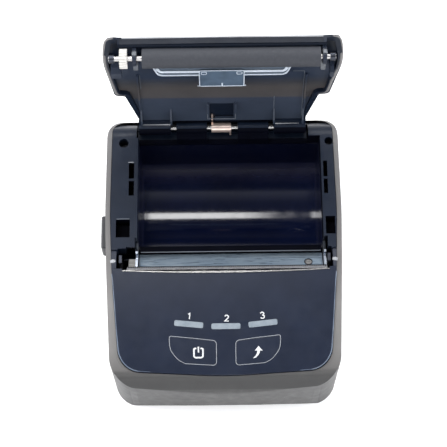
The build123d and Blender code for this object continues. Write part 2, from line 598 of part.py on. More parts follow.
# platen gear has a tooth on the line of centres with the cover closed, the drive gear a gap
a_pf = ang(P_C, F_C)
drive_phase = a_pf + 180 + 180.0 / DRIVE_T
drive_gear = gear(DRIVE_T, PLANE_A[0] + 0.1, PLANE_A[1] - 0.1, F_C, drive_phase, 1.04)
drive_gear += cyl_x(PLANE_A[0] - 0.6, PLANE_A[0] + 0.2, F_C[0], F_C[1], 2.2) - cyl_x(-46, -40, F_C[0], F_C[1], 1.04)
for k in range(5):
    a = math.radians(72 * k + 20)
    drive_gear -= cyl_x(-45, -40, F_C[0] + 3.7 * math.cos(a), F_C[1] + 3.7 * math.sin(a), 0.95)
save("drive_gear", drive_gear.solids()[0])


def tooth_or_gap(phase, teeth, direction):
    """Angle from the direction to the nearest tooth, in tooth pitches (0 = tooth on the line)."""
    pitch = 360.0 / teeth
    d = ((phase - direction) % pitch) / pitch
    return d


def mesh_phase(phase_a, teeth_a, dir_ab, teeth_b):
    """Phase of gear b so that it meshes with gear a along dir_ab (from a to b)."""
    frac = tooth_or_gap(phase_a, teeth_a, dir_ab)
    return dir_ab + 180 - (frac - 0.5) * 360.0 / teeth_b


small_phase = mesh_phase(drive_phase, DRIVE_T, ang(F_C, G_C), SMALL_T)
red = gear(SMALL_T, PLANE_A[0] + 0.1, PLANE_A[1] - 0.1, G_C, small_phase, 0)
red += cyl_x(PLANE_B[1] - 0.1, PLANE_A[0] + 0.2, G_C[0], G_C[1], 1.9)
red += gear(BIG_T, PLANE_B[0], PLANE_B[1], G_C, small_phase, 0)
red -= cyl_x(-52, -40, G_C[0], G_C[1], 1.04)
save("reduction_gear", red.solids()[0])
pin_phase = mesh_phase(small_phase, BIG_T, ang(G_C, M_C), PINION_T)
pinion = gear(PINION_T, PLANE_B[0] - 0.3, PLANE_B[1] + 0.3, M_C, pin_phase, 0)
pinion += cyl_x(PLANE_B[1], -40.2, M_C[0], M_C[1], 1.0)
save("motor_pinion", pinion.solids()[0])

# ================================================================ LATCH AND RELEASE BUTTON
def hook(x0, x1):
    pr = [(-2.0, 33.9), (-4.4, 33.6), (-10.2, 38.6), (-12.0, 42.0), (-11.9, 50.4), (-10.6, 52.0), (-7.0, 52.0), (-6.4, 50.95), (-7.6, 50.5),
          (-9.2, 50.3), (-9.5, 49.4), (-9.6, 43.5), (-8.6, 41.2), (-2.0, 37.0)]
    return side(pr, x0, x1)


latch = hook(-48.4, -47.1) + hook(47.9, 49.2) + cyl_x(-48.4, 49.2, LATCH_Y, LATCH_Z, PIN_R)
# arm and lug that the release button's wedge lifts
latch += box(-48.4, -47.1, -3.2, 9.6, 36.0, 38.4)
latch += box(-49.1, -47.1, 6.5, 9.6, 36.0, 38.4)
latch = latch.solids().sort_by(SortBy.VOLUME)[-1]
save("latch_lever", latch)

rb = box(-57.9, -52.6, REL_Y0, REL_Y1, REL_Z0, REL_Z1)
rb = try_fillet(rb, [e for e in rb.edges() if e.center().X < -57.5], 1.2, 0.8)
rb = try_fillet(rb, [e for e in rb.edges().filter_by(Axis.X)], 1.0, 0.6)
for k in range(4):
    y = REL_Y0 + 4.6 + 2.4 * k
    rb -= box(-60, -57.45, y - 0.45, y + 0.45, REL_Z0 + 2.6, REL_Z1 - 2.6)
rb += box(-52.1, -51.2, REL_Y0 - 1.0, REL_Y1 + 1.0, REL_Z0 - 1.0, REL_Z1 + 1.0)
rb += box(-52.7, -52.0, REL_Y0, REL_Y1, REL_Z0, REL_Z1)
rb += extrude(make_face(Polyline((-51.3, 6.7, 33.0), (-49.6, 6.7, 33.0), (-49.6, 6.7, 35.8), (-51.3, 6.7, 37.1), close=True)), amount=2.7, dir=(0, 1, 0))
save("release_button", rb.solids().sort_by(SortBy.VOLUME)[-1])
save("release_spring", spring_solid(-50.9, 14.2, 36.2, 1.5, 0.25, 4.7, 4, Rot(0, 90, 0)))
# post behind the release spring, part of a small clip on the floor
brk = box(-45.8, -44.8, 11.4, 17.0, 2.3, 39.0) + box(-47.8, -43.2, 11.4, 17.0, 2.3, 3.5)
save("release_bracket", brk)

# hinge pin and its spring
save("hinge_pin", cyl_x(-38.6, 38.6, HINGE_Y, HINGE_Z, PIN_R))
coil = cyl_x(-5.2, 4.2, HINGE_Y, HINGE_Z, 2.35) - cyl_x(-6, 5, HINGE_Y, HINGE_Z, 1.55)
leg_lid = to_open(box(-5.2, -4.4, HINGE_Y - 9.0, HINGE_Y, HINGE_Z + 1.55, HINGE_Z + 2.35))
leg_case = box(3.4, 4.2, HINGE_Y - 2.35, HINGE_Y - 1.55, 46.7, HINGE_Z)
save("hinge_spring", (coil + leg_lid + leg_case).solids().sort_by(SortBy.VOLUME)[-1])

# ================================================================ COVER (drawn closed)
def lid_plan(inset=0.0):
    i = inset
    pts = [(0, -12.3 + i), (44.6, -12.0 + i), (46.4 - i * 0.5, -13.0 + i), (50.2 - i, -12.2 + i), (52.9 - i, 2.0), (49.5 - i, 31.0 - i), (44.8 - i, 31.6 - i), (39.7 - i, 52.0), (39.7 - i, 66.0)]
    p, r = mirrored(pts, [200, 1.0, 1.0, max(3.4 - i, 1.0), 40, max(2.6 - i * 0.8, 0.6), 1.2 + i * 0.8, 6.0, 0.3])
    p = [(x + (1.5 if x > 45 and y < 20 else 0.0), y) for x, y in p]      # the right cheek stands a little wider
    return poly_face(p, r)


LID_PTS = [(-13.6, 55.4), (-8.6, 57.7), (2.0, 58.0), (24.0, 58.0), (44.0, 56.8), (59.5, 53.4)]


def lid_body(i, low=50.0, halfw=70.0):
    """Everything under the crowned top of the cover, i below it."""
    pts = [(y, z - i * 1.02) for y, z in LID_PTS]
    pts = [(-20.0, pts[0][1] - 3.0)] + pts + [(61.0, pts[-1][1] - 0.45), (61.0, low), (-20.0, low)]
    r = [0.05, 4.0, 8.0, 60.0, 60.0, 60.0, 0.3, 0.05, 0.05, 0.05]
    return side_face(poly_face(pts, r, "yz"), halfw)


outer_lid = lid_body(0.0) & solid_of(lid_plan(), 50, 62)
outer_lid &= box(-60, 60, -20, 58.0, 52.35, 62)
ridge = [e for e in outer_lid.edges() if e.center().Z > 54.0 and e.length > 8 and abs(e.center().X) > 30 and e.center().Y < 50]
outer_lid = try_fillet(outer_lid, ridge, 2.2, 1.6, 1.2, 0.8)
# barrel round the hinge axis: a quarter round skin behind and above the axis
barrel = cyl_x(-39.7, 39.7, HINGE_Y, HINGE_Z, 4.1)
inner_lid = lid_body(1.9) & solid_of(lid_plan(2.0), 45, 62)
shell = outer_lid - inner_lid
shell -= box(-37.3, 37.3, 50.0, HINGE_Y + 8, 49, 53.6)
skin = barrel - cyl_x(-41, 41, HINGE_Y, HINGE_Z, 3.25)
skin &= box(-41, 41, HINGE_Y - 1.0, HINGE_Y + 5, HINGE_Z - 0.6, 60)
shell += skin
# the lip sits higher between the cheeks so that paper can leave over the tear edge
lip = side([(-12.55, 53.6), (-11.0, 51.8), (-10.6, 51.8), (-9.2, 53.4), (-9.2, 56.4), (-12.55, 56.0)], -45.6, 46.4)
shell += lip & lid_body(0.3) & solid_of(lid_plan(0.3), 45, 62)
# the sides lift at the front over the shoulders of the panel
shell -= side([(-20, 50), (-20, 54.5), (-13.2, 54.5), (-7.8, 53.5), (-4.2, 52.3), (-4.2, 50)], -60, -45.2)
shell -= side([(-20, 50), (-20, 54.5), (-13.2, 54.5), (-7.8, 53.5), (-4.2, 52.3), (-4.2, 50)], 46.0, 60)
# knuckles of the cover
for x0, x1 in ((-39.7, -24.5), (24.5, 39.7)):
    kn = cyl_x(x0, x1, HINGE_Y, HINGE_Z, 3.2)
    kn += box(x0, x1, HINGE_Y - 6.0, HINGE_Y + 1.5, HINGE_Z + 0.4, 55.6) & lid_body(0.2)
    shell += kn
for x0, x1 in ((-39.7, -24.5), (24.5, 39.7)):
    shell -= cyl_x(x0 - 0.5, x1 + 0.5, HINGE_Y, HINGE_Z, PIN_R + 0.06)
shell -= cyl_x(-24.6, 24.6, HINGE_Y, HINGE_Z, 3.25)
print('shell solids', [round(q.volume) for q in shell.solids()])
shell = shell.solids().sort_by(SortBy.VOLUME)[-1]
save("cover_shell", to_open(shell))
print("cover shell volume", shell.volume)

# inner liner of the cover, a crowned plate with a recess, ribs and the bearing walls
space = lid_body(2.0, 40.0) & solid_of(lid_plan(2.1), 40, 62)      # inside of the cover
liner = space - lid_body(3.4, 39.0)
liner &= box(-60, 60, 2.2, 53.4, 40, 62)
liner -= box(-6.0, 5.4, 40.6, 51.6, 50, 60)                        # window over the hinge spring
liner -= box(-6.0, -3.4, 40.6, 60, 50, 60)
# raised frame lines either side of the window
for x in (-7.0, 6.0):
    liner += box(x, x + 0.9, 39.6, 52.6, 52.2, 54.6) & space
# ribs beside the knuckles and along the recessed centre field
for x in (-24.4, 23.4):
    liner += side([(53.2, 53.6), (44.0, 54.6), (53.2, 51.4)], x, x + 1.0) & space
for x in (-38.9, 38.1):
    liner += side([(16, 54.6), (16, 53.4), (46, 52.6), (53.2, 51.8), (53.2, 53.6)], x, x + 0.8) & space
# bearing walls for the platen
BRG = ((-38.9, -37.2), (44.2, 45.9))
for x0, x1 in BRG:
    wl = side([(-9.0, 56.4), (-9.9, 50.4), (-9.9, 47.2), (-8.6, 45.3), (-5.4, 45.3), (-4.0, 46.8), (-1.5, 50.2), (4.5, 52.5), (8.0, 54.0), (8.0, 56.4)], x0, x1)
    liner += wl & space
    liner -= cyl_x(x0 - 1, x1 + 1, ROLL_Y, ROLL_Z, 2.5)
# front beam over the roller joins both walls
liner += box(-38.9, 45.9, 1.0, 2.8, 53.6, 56.4) & space
# locating tongues that drop into the rail pockets
for x0, x1, y0, y1 in ((-49.2, -44.5, 2.9, 9.7), (48.2, 50.0, 3.6, 10.3)):
    t = side([(y0, 56.4), (y1, 56.4), (y1, 50.0), (y1 - 1.5, 47.5), (y0 + 1.5, 47.5), (y0, 50.0)], x0, x1)
    liner += t & space
liner -= shell
print('liner solids', [round(q.volume) for q in liner.solids()])
liner = liner.solids().sort_by(SortBy.VOLUME)[-1]
save("cover_liner", to_open(liner))
print("liner volume", liner.volume)

# platen: rubber roller, shaft, gear, bushes, collars
rubber = cyl_x(ROLL_L, ROLL_R, ROLL_Y, ROLL_Z, ROLL_RAD)
rubber = try_fillet(rubber, [e for e in rubber.edges() if e.length > 20], 0.3)
rubber -= cyl_x(ROLL_L - 1, ROLL_R + 1, ROLL_Y, ROLL_Z, SHAFT_R + 1.0)
save("platen_rubber", to_open(rubber))
shaft = cyl_x(-49.4, 50.0, ROLL_Y, ROLL_Z, SHAFT_R) + cyl_x(ROLL_L, ROLL_R, ROLL_Y, ROLL_Z, SHAFT_R + 1.0)
save("platen_shaft", to_open(shaft))
pg = gear(PLATEN_T, PLANE_A[0], PLANE_A[1], P_C, a_pf, SHAFT_R)
save("platen_gear", to_open(pg.solids()[0]))
bushes = []
for x0, x1 in BRG:
    b = cyl_x(x0, x1, ROLL_Y, ROLL_Z, 2.47) - cyl_x(x0 - 2, x1 + 2, ROLL_Y, ROLL_Z, SHAFT_R + 0.04)
    bushes.append(b)
save("platen_bush_left", to_open(bushes[0]))
save("platen_bush_right", to_open(bushes[1]))
cl = cyl_x(-49.2, -46.9, ROLL_Y, ROLL_Z, 1.9) - cyl_x(-50, -44, ROLL_Y, ROLL_Z, SHAFT_R)
cr = cyl_x(47.5, 49.8, ROLL_Y, ROLL_Z, 1.9) - cyl_x(44, 52, ROLL_Y, ROLL_Z, SHAFT_R)
save("latch_collars", [to_open(cl), to_open(cr)])

# paper guide strip and its clip plate, under the roller in the cover
guide = side([(8.4, 53.95), (14.4, 53.95), (14.4, 53.45), (13.6, 52.9), (9.0, 52.9), (8.4, 53.4)], -30.0, 30.4)
guide += box(-30.0, 30.4, 8.4, 9.2, 52.5, 53.4)
save("paper_guide", to_open(guide.solids().sort_by(SortBy.VOLUME)[-1]))
clip = box(-10.1, 10.1, 9.4, 22.6, 51.9, 52.45)
clip = try_fillet(clip, clip.edges().filter_by(Axis.Z), 1.0, 0.6)
clip += box(-9.4, 9.4, 14.6, 22.0, 52.4, 54.0)
for x in (-8.0, 8.0):
    clip -= box(x - 1.2, x + 1.2, 10.8, 12.2, 50, 56)
save("guide_clip", to_open(clip))

print("gear centres", F_C, G_C, M_C)
print("slope", SLOPE)
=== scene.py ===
import bpy
import bmesh
import json
import math
from mathutils import Vector, Matrix


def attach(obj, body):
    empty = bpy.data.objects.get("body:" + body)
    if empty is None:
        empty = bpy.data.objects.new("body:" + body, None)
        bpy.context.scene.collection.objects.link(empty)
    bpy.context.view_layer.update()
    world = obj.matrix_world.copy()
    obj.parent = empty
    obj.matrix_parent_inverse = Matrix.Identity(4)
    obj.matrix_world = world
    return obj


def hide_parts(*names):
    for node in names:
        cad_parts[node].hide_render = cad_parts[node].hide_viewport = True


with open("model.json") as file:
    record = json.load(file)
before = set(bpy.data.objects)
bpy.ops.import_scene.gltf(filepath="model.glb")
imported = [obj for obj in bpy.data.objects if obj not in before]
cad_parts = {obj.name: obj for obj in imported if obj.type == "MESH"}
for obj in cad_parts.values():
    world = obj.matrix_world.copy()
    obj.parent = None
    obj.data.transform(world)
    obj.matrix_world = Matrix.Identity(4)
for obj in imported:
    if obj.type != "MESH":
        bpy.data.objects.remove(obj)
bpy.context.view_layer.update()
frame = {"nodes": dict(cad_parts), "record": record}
nodes = frame["nodes"]
MM = 0.001


# ------------------------------------------------------------------ materials
def new_mat(name):
    m = bpy.data.materials.new(name)
    m.use_nodes = True
    nt = m.node_tree
    nt.nodes.clear()
    out = nt.nodes.new("ShaderNodeOutputMaterial")
    b = nt.nodes.new("ShaderNodeBsdfPrincipled")
    nt.links.new(b.outputs[0], out.inputs[0])
    return m, nt, b


def coords(nt, scale=(1, 1, 1)):
    tc = nt.nodes.new("ShaderNodeTexCoord")
    mp = nt.nodes.new("ShaderNodeMapping")
    mp.inputs["Scale"].default_value = scale
    nt.links.new(tc.outputs["Object"], mp.inputs["Vector"])
    return mp.outputs[0]


def noise(nt, vec, scale, detail=3.0, rough=0.55):
    n = nt.nodes.new("ShaderNodeTexNoise")
    n.inputs["Scale"].default_value = scale
    n.inputs["Detail"].default_value = detail
    n.inputs["Roughness"].default_value = rough
    nt.links.new(vec, n.inputs["Vector"])
    return n.outputs["Fac"]


def ramp(nt, fac, stops):
    r = nt.nodes.new("ShaderNodeValToRGB")
    e = r.color_ramp.elements
    e[0].position, e[0].color = stops[0][0], (*stops[0][1], 1)
    e[1].position, e[1].color = stops[1][0], (*stops[1][1], 1)
    for p, c in stops[2:]:
        x = e.new(p)
        x.color = (*c, 1)
    nt.links.new(fac, r.inputs[0])
    return r.outputs[0]


def maprange(nt, fac, a, b, lo, hi):
    m = nt.nodes.new("ShaderNodeMapRange")
    for k, v in zip((1, 2, 3, 4), (a, b, lo, hi)):
        m.inputs[k].default_value = v
    nt.links.new(fac, m.inputs[0])
    return m.outputs[0]


def bump(nt, height, strength, dist, prev=None):
    b = nt.nodes.new("ShaderNodeBump")
    b.inputs["Strength"].default_value = strength
    b.inputs["Distance"].default_value = dist
    nt.links.new(height, b.inputs["Height"])
    if prev is not None:
        nt.links.new(prev, b.inputs["Normal"])
    return b.outputs[0]


def shade(c, k):
    return tuple(max(0.0, min(1.0, v * k)) for v in c)


def plastic(name, col, rough, vary=0.08, grain=0.25, grain_scale=2600, coat=0.0, spread=0.06, spec=0.5, cloud=90.0):
    """Moulded plastic: slow tone drift, fine moulded grain, and roughness that wanders a little."""
    m, nt, b = new_mat(name)
    v = coords(nt)
    slow = noise(nt, v, cloud, 3.0)
    fine = noise(nt, v, grain_scale, 2.0)
    c = ramp(nt, slow, [(0.35, shade(col, 1 - vary)), (0.68, shade(col, 1 + vary))])
    nt.links.new(c, b.inputs["Base Color"])
    nt.links.new(maprange(nt, noise(nt, v, 240.0, 4.0), 0.3, 0.7, rough - spread, rough + spread), b.inputs["Roughness"])
    nt.links.new(bump(nt, fine, grain, 0.00004), b.inputs["Normal"])
    b.inputs["Specular IOR Level"].default_value = spec
    b.inputs["Coat Weight"].default_value = coat
    b.inputs["Coat Roughness"].default_value = 0.12
    return m


def metal(name, col, rough, stretch=(1, 1, 1), scale=1800, vary=0.12, grain=0.25, metallic=1.0, spread=0.08):
    """Metal with drawn or turned marks along one direction."""
    m, nt, b = new_mat(name)
    v = coords(nt, stretch)
    fine = noise(nt, v, scale, 4.0, 0.65)
    slow = noise(nt, coords(nt), 160.0, 2.0)
    c = ramp(nt, slow, [(0.3, shade(col, 1 - vary)), (0.7, shade(col, 1 + vary))])
    nt.links.new(c, b.inputs["Base Color"])
    b.inputs["Metallic"].default_value = metallic
    nt.links.new(maprange(nt, fine, 0.3, 0.7, max(0.04, rough - spread), rough + spread), b.inputs["Roughness"])
    nt.links.new(bump(nt, fine, grain, 0.00003), b.inputs["Normal"])
    return m


M = {}


def zoned(name, axis, stops, rough, vary=0.08, grain=0.25, grain_scale=2600, spec=0.5, spread=0.06, cloud=90.0, rough_zone=None, painted_light_by_facing=None):
    """Moulded plastic whose tone changes along one axis of the piece (stops in mm); the stops carry painted light and
    shade bands. The optional facing pair paints a highlight on upward faces behind the front and painted shade on side
    walls and front faces.
    """
    m, nt, b = new_mat(name)
    v = coords(nt)
    sep = nt.nodes.new("ShaderNodeSeparateXYZ")
    nt.links.new(v, sep.inputs[0])
    lo, hi = stops[0][0], stops[-1][0]
    fac = maprange(nt, sep.outputs[axis], lo * MM, hi * MM, 0.0, 1.0)
    c = ramp(nt, fac, [(0.0, stops[0][1]), (1.0, stops[-1][1])] + [((q - lo) / (hi - lo), col) for q, col in stops[1:-1]])
    mix = nt.nodes.new("ShaderNodeMix")
    mix.data_type = "RGBA"
    mix.blend_type = "MULTIPLY"
    mix.inputs[0].default_value = 1.0
    nt.links.new(c, mix.inputs[6])
    nt.links.new(ramp(nt, noise(nt, v, cloud, 3.0), [(0.35, (1 - vary,) * 3), (0.68, (1.0, 1.0, 1.0))]), mix.inputs[7])
    tone = mix.outputs[2]
    # painted highlight on upward faces at the sides, painted shade on side walls and front-facing faces
    if painted_light_by_facing:
        top, wall = painted_light_by_facing
        gn = nt.nodes.new("ShaderNodeNewGeometry")
        ns = nt.nodes.new("ShaderNodeSeparateXYZ")
        nt.links.new(gn.outputs["Normal"], ns.inputs[0])
        ab = nt.nodes.new("ShaderNodeMath")
        ab.operation = "ABSOLUTE"
        nt.links.new(ns.outputs["X"], ab.inputs[0])
        f_top = maprange(nt, ns.outputs["Z"], 0.30, 0.75, 0.0, 1.0)
        f_side = maprange(nt, sep.outputs["Y"], -0.062, -0.050, 0.0, 1.0)
        f_wall = maprange(nt, ab.outputs[0], 0.60, 0.97, 1.0, wall)
        mul = nt.nodes.new("ShaderNodeMath")
        mul.operation = "MULTIPLY"
        nt.links.new(f_top, mul.inputs[0])
        nt.links.new(f_side, mul.inputs[1])
        gain = nt.nodes.new("ShaderNodeMath")
        gain.operation = "MULTIPLY_ADD"
        gain.inputs[1].default_value = top - 1.0
        gain.inputs[2].default_value = 1.0
        nt.links.new(mul.outputs[0], gain.inputs[0])
        both = nt.nodes.new("ShaderNodeMath")
        both.operation = "MULTIPLY"
        nt.links.new(gain.outputs[0], both.inputs[0])
        neg = nt.nodes.new("ShaderNodeMath")
        neg.operation = "MULTIPLY"
        neg.inputs[1].default_value = -1.0
        nt.links.new(ns.outputs["Y"], neg.inputs[0])
        f_front = maprange(nt, neg.outputs[0], 0.35, 0.95, 1.0, 0.46)
        wf = nt.nodes.new("ShaderNodeMath")
        wf.operation = "MULTIPLY"
        nt.links.new(f_wall, wf.inputs[0])
        nt.links.new(f_front, wf.inputs[1])
        nt.links.new(wf.outputs[0], both.inputs[1])
        sc = nt.nodes.new("ShaderNodeVectorMath")
        sc.operation = "SCALE"
        nt.links.new(tone, sc.inputs[0])
        nt.links.new(both.outputs[0], sc.inputs["Scale"])
        tone = sc.outputs[0]
    nt.links.new(tone, b.inputs["Base Color"])
    r = maprange(nt, noise(nt, v, 240.0, 4.0), 0.3, 0.7, rough - spread, rough + spread)
    if rough_zone:
        za, zb, extra = rough_zone
        add = nt.nodes.new("ShaderNodeMath")
        nt.links.new(r, add.inputs[0])
        nt.links.new(maprange(nt, sep.outputs[axis], za * MM, zb * MM, 0.0, extra), add.inputs[1])
        r = add.outputs[0]
    nt.links.new(r, b.inputs["Roughness"])
    nt.links.new(bump(nt, noise(nt, v, grain_scale, 2.0), grain, 0.00004), b.inputs["Normal"])
    b.inputs["Specular IOR Level"].default_value = spec
    return m


# grey case: painted shade in the dark front band (y below -59), tone lightest at mid-side and darker again towards the
# rear; the facing pair adds a painted highlight on the side tops and painted shade on walls and front faces
M["grey"] = zoned("grey_shell_painted_light", "Y", [(-71, (0.041, 0.040, 0.039)), (-64, (0.035, 0.035, 0.036)), (-59, (0.085, 0.082, 0.080)), (-30, (0.130, 0.125, 0.121)), (-4, (0.082, 0.079, 0.078)),
                                            (70, (0.074, 0.072, 0.072))], 0.46, vary=0.06, grain=0.5, grain_scale=3200, spread=0.05, painted_light_by_facing=(1.75, 0.45))
M["greykey"] = plastic("grey_release_key", (0.019, 0.019, 0.023), 0.46, vary=0.06, grain=0.5, grain_scale=3200, spread=0.05)
M["dark"] = plastic("dark_satin_cover", (0.0060, 0.0105, 0.0215), 0.38, vary=0.10, grain=0.22, grain_scale=2800, spec=0.22)
# darker copy of the cover plastic: painted shade for the lid's front lip face
M["lipface"] = plastic("dark_lip_with_painted_shade", (0.0045, 0.0075, 0.0150), 0.42, vary=0.10, grain=0.22, grain_scale=2800, spec=0.18)
M["panel"] = plastic("dark_satin_panel", (0.0130, 0.0175, 0.0320), 0.34, vary=0.10, grain=0.22, grain_scale=2800, spec=0.21)
M["paneledge"] = plastic("panel_edge_painted_highlight_glint", (0.105, 0.135, 0.185), 0.32, vary=0.2, grain=0.1)
M["shade"] = plastic("shaded_recess", (0.0008, 0.0012, 0.004), 0.6, vary=0.2, grain=0.2, spec=0.04)
# the lighter band from z 15.5 to 23.6 is a painted reflection; the near-black tone above z 24 is painted shade
M["well"] = zoned("well_painted_reflection_bands", "Z", [(6.5, (0.003, 0.007, 0.036)), (12.5, (0.004, 0.008, 0.036)), (15.5, (0.012, 0.014, 0.044)), (19.0, (0.020, 0.021, 0.048)), (23.6, (0.011, 0.013, 0.034)),
                                       (24.0, (0.001, 0.002, 0.012)), (45, (0.0006, 0.0015, 0.009))], 0.12, vary=0.2, grain=0.05, spread=0.03, cloud=60, spec=0.75, rough_zone=(9.2, 12.5, 0.12))
# the warm grey band from z 72.6 to 80 is a painted warm reflection in the liner's curve
M["liner"] = zoned("liner_painted_warm_reflection", "Z", [(50, (0.026, 0.036, 0.056)), (71.9, (0.034, 0.044, 0.068)), (72.6, (0.060, 0.057, 0.060)), (80, (0.058, 0.053, 0.053)), (84.5, (0.034, 0.036, 0.044)),
                                      (89, (0.018, 0.027, 0.048)), (121, (0.020, 0.026, 0.042))], 0.40, vary=0.14, grain=0.2, cloud=70, spec=0.35)
M["button"] = plastic("satin_key", (0.0140, 0.0185, 0.0330), 0.34, vary=0.08, grain=0.2, spec=0.26)
M["nylon"] = plastic("white_nylon", (0.66, 0.65, 0.62), 0.42, vary=0.04, grain=0.2)
M["black"] = plastic("black_moulding", (0.012, 0.013, 0.016), 0.42, vary=0.2, grain=0.3)
M["steel"] = metal("turned_steel", (0.50, 0.49, 0.48), 0.30, stretch=(1, 8, 8))
M["sheet"] = metal("plated_sheet", (0.42, 0.46, 0.52), 0.34, stretch=(0.3, 6, 6))
M["tear"] = metal("ground_tear_steel", (0.66, 0.65, 0.63), 0.24, stretch=(1, 1, 0.1), scale=5000)
M["darkmetal"] = metal("darkened_lever", (0.06, 0.065, 0.08), 0.35, scale=3000)
M["copper"] = metal("copper_wire", (0.74, 0.60, 0.53), 0.34, scale=2600, metallic=0.75)
M["bronze"] = metal("sintered_bronze", (0.25, 0.16, 0.11), 0.42, scale=5200, grain=0.5)
M["screwblack"] = metal("black_oxide_screw", (0.03, 0.03, 0.035), 0.38, scale=4000)
M["gold"] = metal("plated_contact", (0.85, 0.62, 0.28), 0.3)
M["cells"] = metal("cell_can", (0.55, 0.55, 0.57), 0.4)
M["wrap"] = plastic("heat_shrink", (0.03, 0.08, 0.28), 0.3)
M["pcb"] = plastic("solder_mask", (0.01, 0.11, 0.05), 0.34, cloud=500)
M["film"] = plastic("flex_film", (0.42, 0.2, 0.05), 0.3)


def rubber(name):
    m, nt, b = new_mat(name)
    v = coords(nt)
    speck = nt.nodes.new("ShaderNodeTexVoronoi")
    speck.inputs["Scale"].default_value = 1500
    nt.links.new(v, speck.inputs["Vector"])
    mottled = noise(nt, v, 900.0, 4.0, 0.7)
    c = ramp(nt, mottled, [(0.30, (0.030, 0.033, 0.041)), (0.62, (0.037, 0.040, 0.049)), (0.78, (0.048, 0.051, 0.060))])
    nt.links.new(c, b.inputs["Base Color"])
    nt.links.new(maprange(nt, noise(nt, v, 400.0), 0.3, 0.7, 0.58, 0.72), b.inputs["Roughness"])
    b.inputs["Specular IOR Level"].default_value = 0.4
    n1 = bump(nt, speck.outputs["Distance"], 0.25, 0.00006)
    nt.links.new(bump(nt, mottled, 0.4, 0.00006, n1), b.inputs["Normal"])
    return m


def glazed(name):
    """Head strip: blue-silver glaze with long faint streaks."""
    m, nt, b = new_mat(name)
    v = coords(nt, (0.25, 3.0, 3.0))
    st = noise(nt, v, 420.0, 5.0, 0.6)
    blot = noise(nt, coords(nt), 60.0, 3.0)
    mix = nt.nodes.new("ShaderNodeMath")
    mix.operation = "MULTIPLY_ADD"
    mix.inputs[1].default_value = 0.55
    nt.links.new(st, mix.inputs[0])
    sc = nt.nodes.new("ShaderNodeMath")
    sc.operation = "MULTIPLY"
    sc.inputs[1].default_value = 0.5
    nt.links.new(blot, sc.inputs[0])
    nt.links.new(sc.outputs[0], mix.inputs[2])
    c = ramp(nt, mix.outputs[0], [(0.30, (0.185, 0.245, 0.315)), (0.56, (0.24, 0.305, 0.37)), (0.74, (0.32, 0.38, 0.43))])
    nt.links.new(c, b.inputs["Base Color"])
    b.inputs["Metallic"].default_value = 0.55
    nt.links.new(maprange(nt, st, 0.3, 0.7, 0.22, 0.42), b.inputs["Roughness"])
    nt.links.new(bump(nt, st, 0.12, 0.00004), b.inputs["Normal"])
    return m


def lens(name):
    m, nt, b = new_mat(name)
    v = coords(nt)
    c = ramp(nt, noise(nt, v, 300.0, 3.0), [(0.3, (0.18, 0.215, 0.25)), (0.7, (0.24, 0.275, 0.31))])
    nt.links.new(c, b.inputs["Base Color"])
    nt.links.new(maprange(nt, noise(nt, v, 700.0), 0.3, 0.7, 0.28, 0.42), b.inputs["Roughness"])
    nt.links.new(bump(nt, noise(nt, v, 2600.0), 0.2, 0.00004), b.inputs["Normal"])
    b.inputs["Coat Weight"].default_value = 0.3
    return m


def ink(name, col):
    m, nt, b = new_mat(name)
    v = coords(nt)
    c = ramp(nt, noise(nt, v, 2400.0, 3.0), [(0.25, shade(col, 0.86)), (0.6, col)])
    nt.links.new(c, b.inputs["Base Color"])
    nt.links.new(maprange(nt, noise(nt, v, 1200.0), 0.3, 0.7, 0.42, 0.6), b.inputs["Roughness"])
    return m


M["wire"] = metal("bright_wire", (0.80, 0.83, 0.86), 0.22, scale=3000, grain=0.12)
M["guide"] = metal("guide_sheet", (0.10, 0.13, 0.17), 0.36, stretch=(0.3, 5, 5), metallic=0.3)
# bright colour for the guide wires, and for painted edge highlights on the clip plate
M["outline"] = plastic("bright_edge", (0.56, 0.62, 0.70), 0.3, vary=0.08, grain=0.1)
# pale colour for painted highlights: the lid's top edge, the knuckle tops and the wing lugs
M["painted_highlight_line"] = plastic("painted_highlight_edge", (0.34, 0.35, 0.37), 0.36, vary=0.14, grain=0.15)
M["clip"] = metal("clip_sheet", (0.085, 0.125, 0.180), 0.4, stretch=(0.5, 4, 4), metallic=0.2, vary=0.2)
# colour for the liner ribs, and for painted highlights on the well lip and rail pocket edges
M["line"] = plastic("rib_and_edge_painted_highlight", (0.10, 0.115, 0.14), 0.4)
# light colour of the cheek beads: painted highlight
M["rim"] = plastic("painted_highlight_rim", (0.16, 0.155, 0.155), 0.34, vary=0.12)
M["pad"] = plastic("bearing_pad", (0.11, 0.12, 0.135), 0.45, vary=0.3, cloud=900)
M["rubber"] = rubber("roller_rubber")
M["head"] = glazed("head_glaze")
M["lens"] = lens("frosted_lens")
M["ink"] = ink("white_ink", (0.62, 0.63, 0.64))
# thin pale lines used as painted highlights round the keys and on the rail slot's edge
M["inkline"] = ink("pale_painted_highlight", (0.27, 0.285, 0.31))

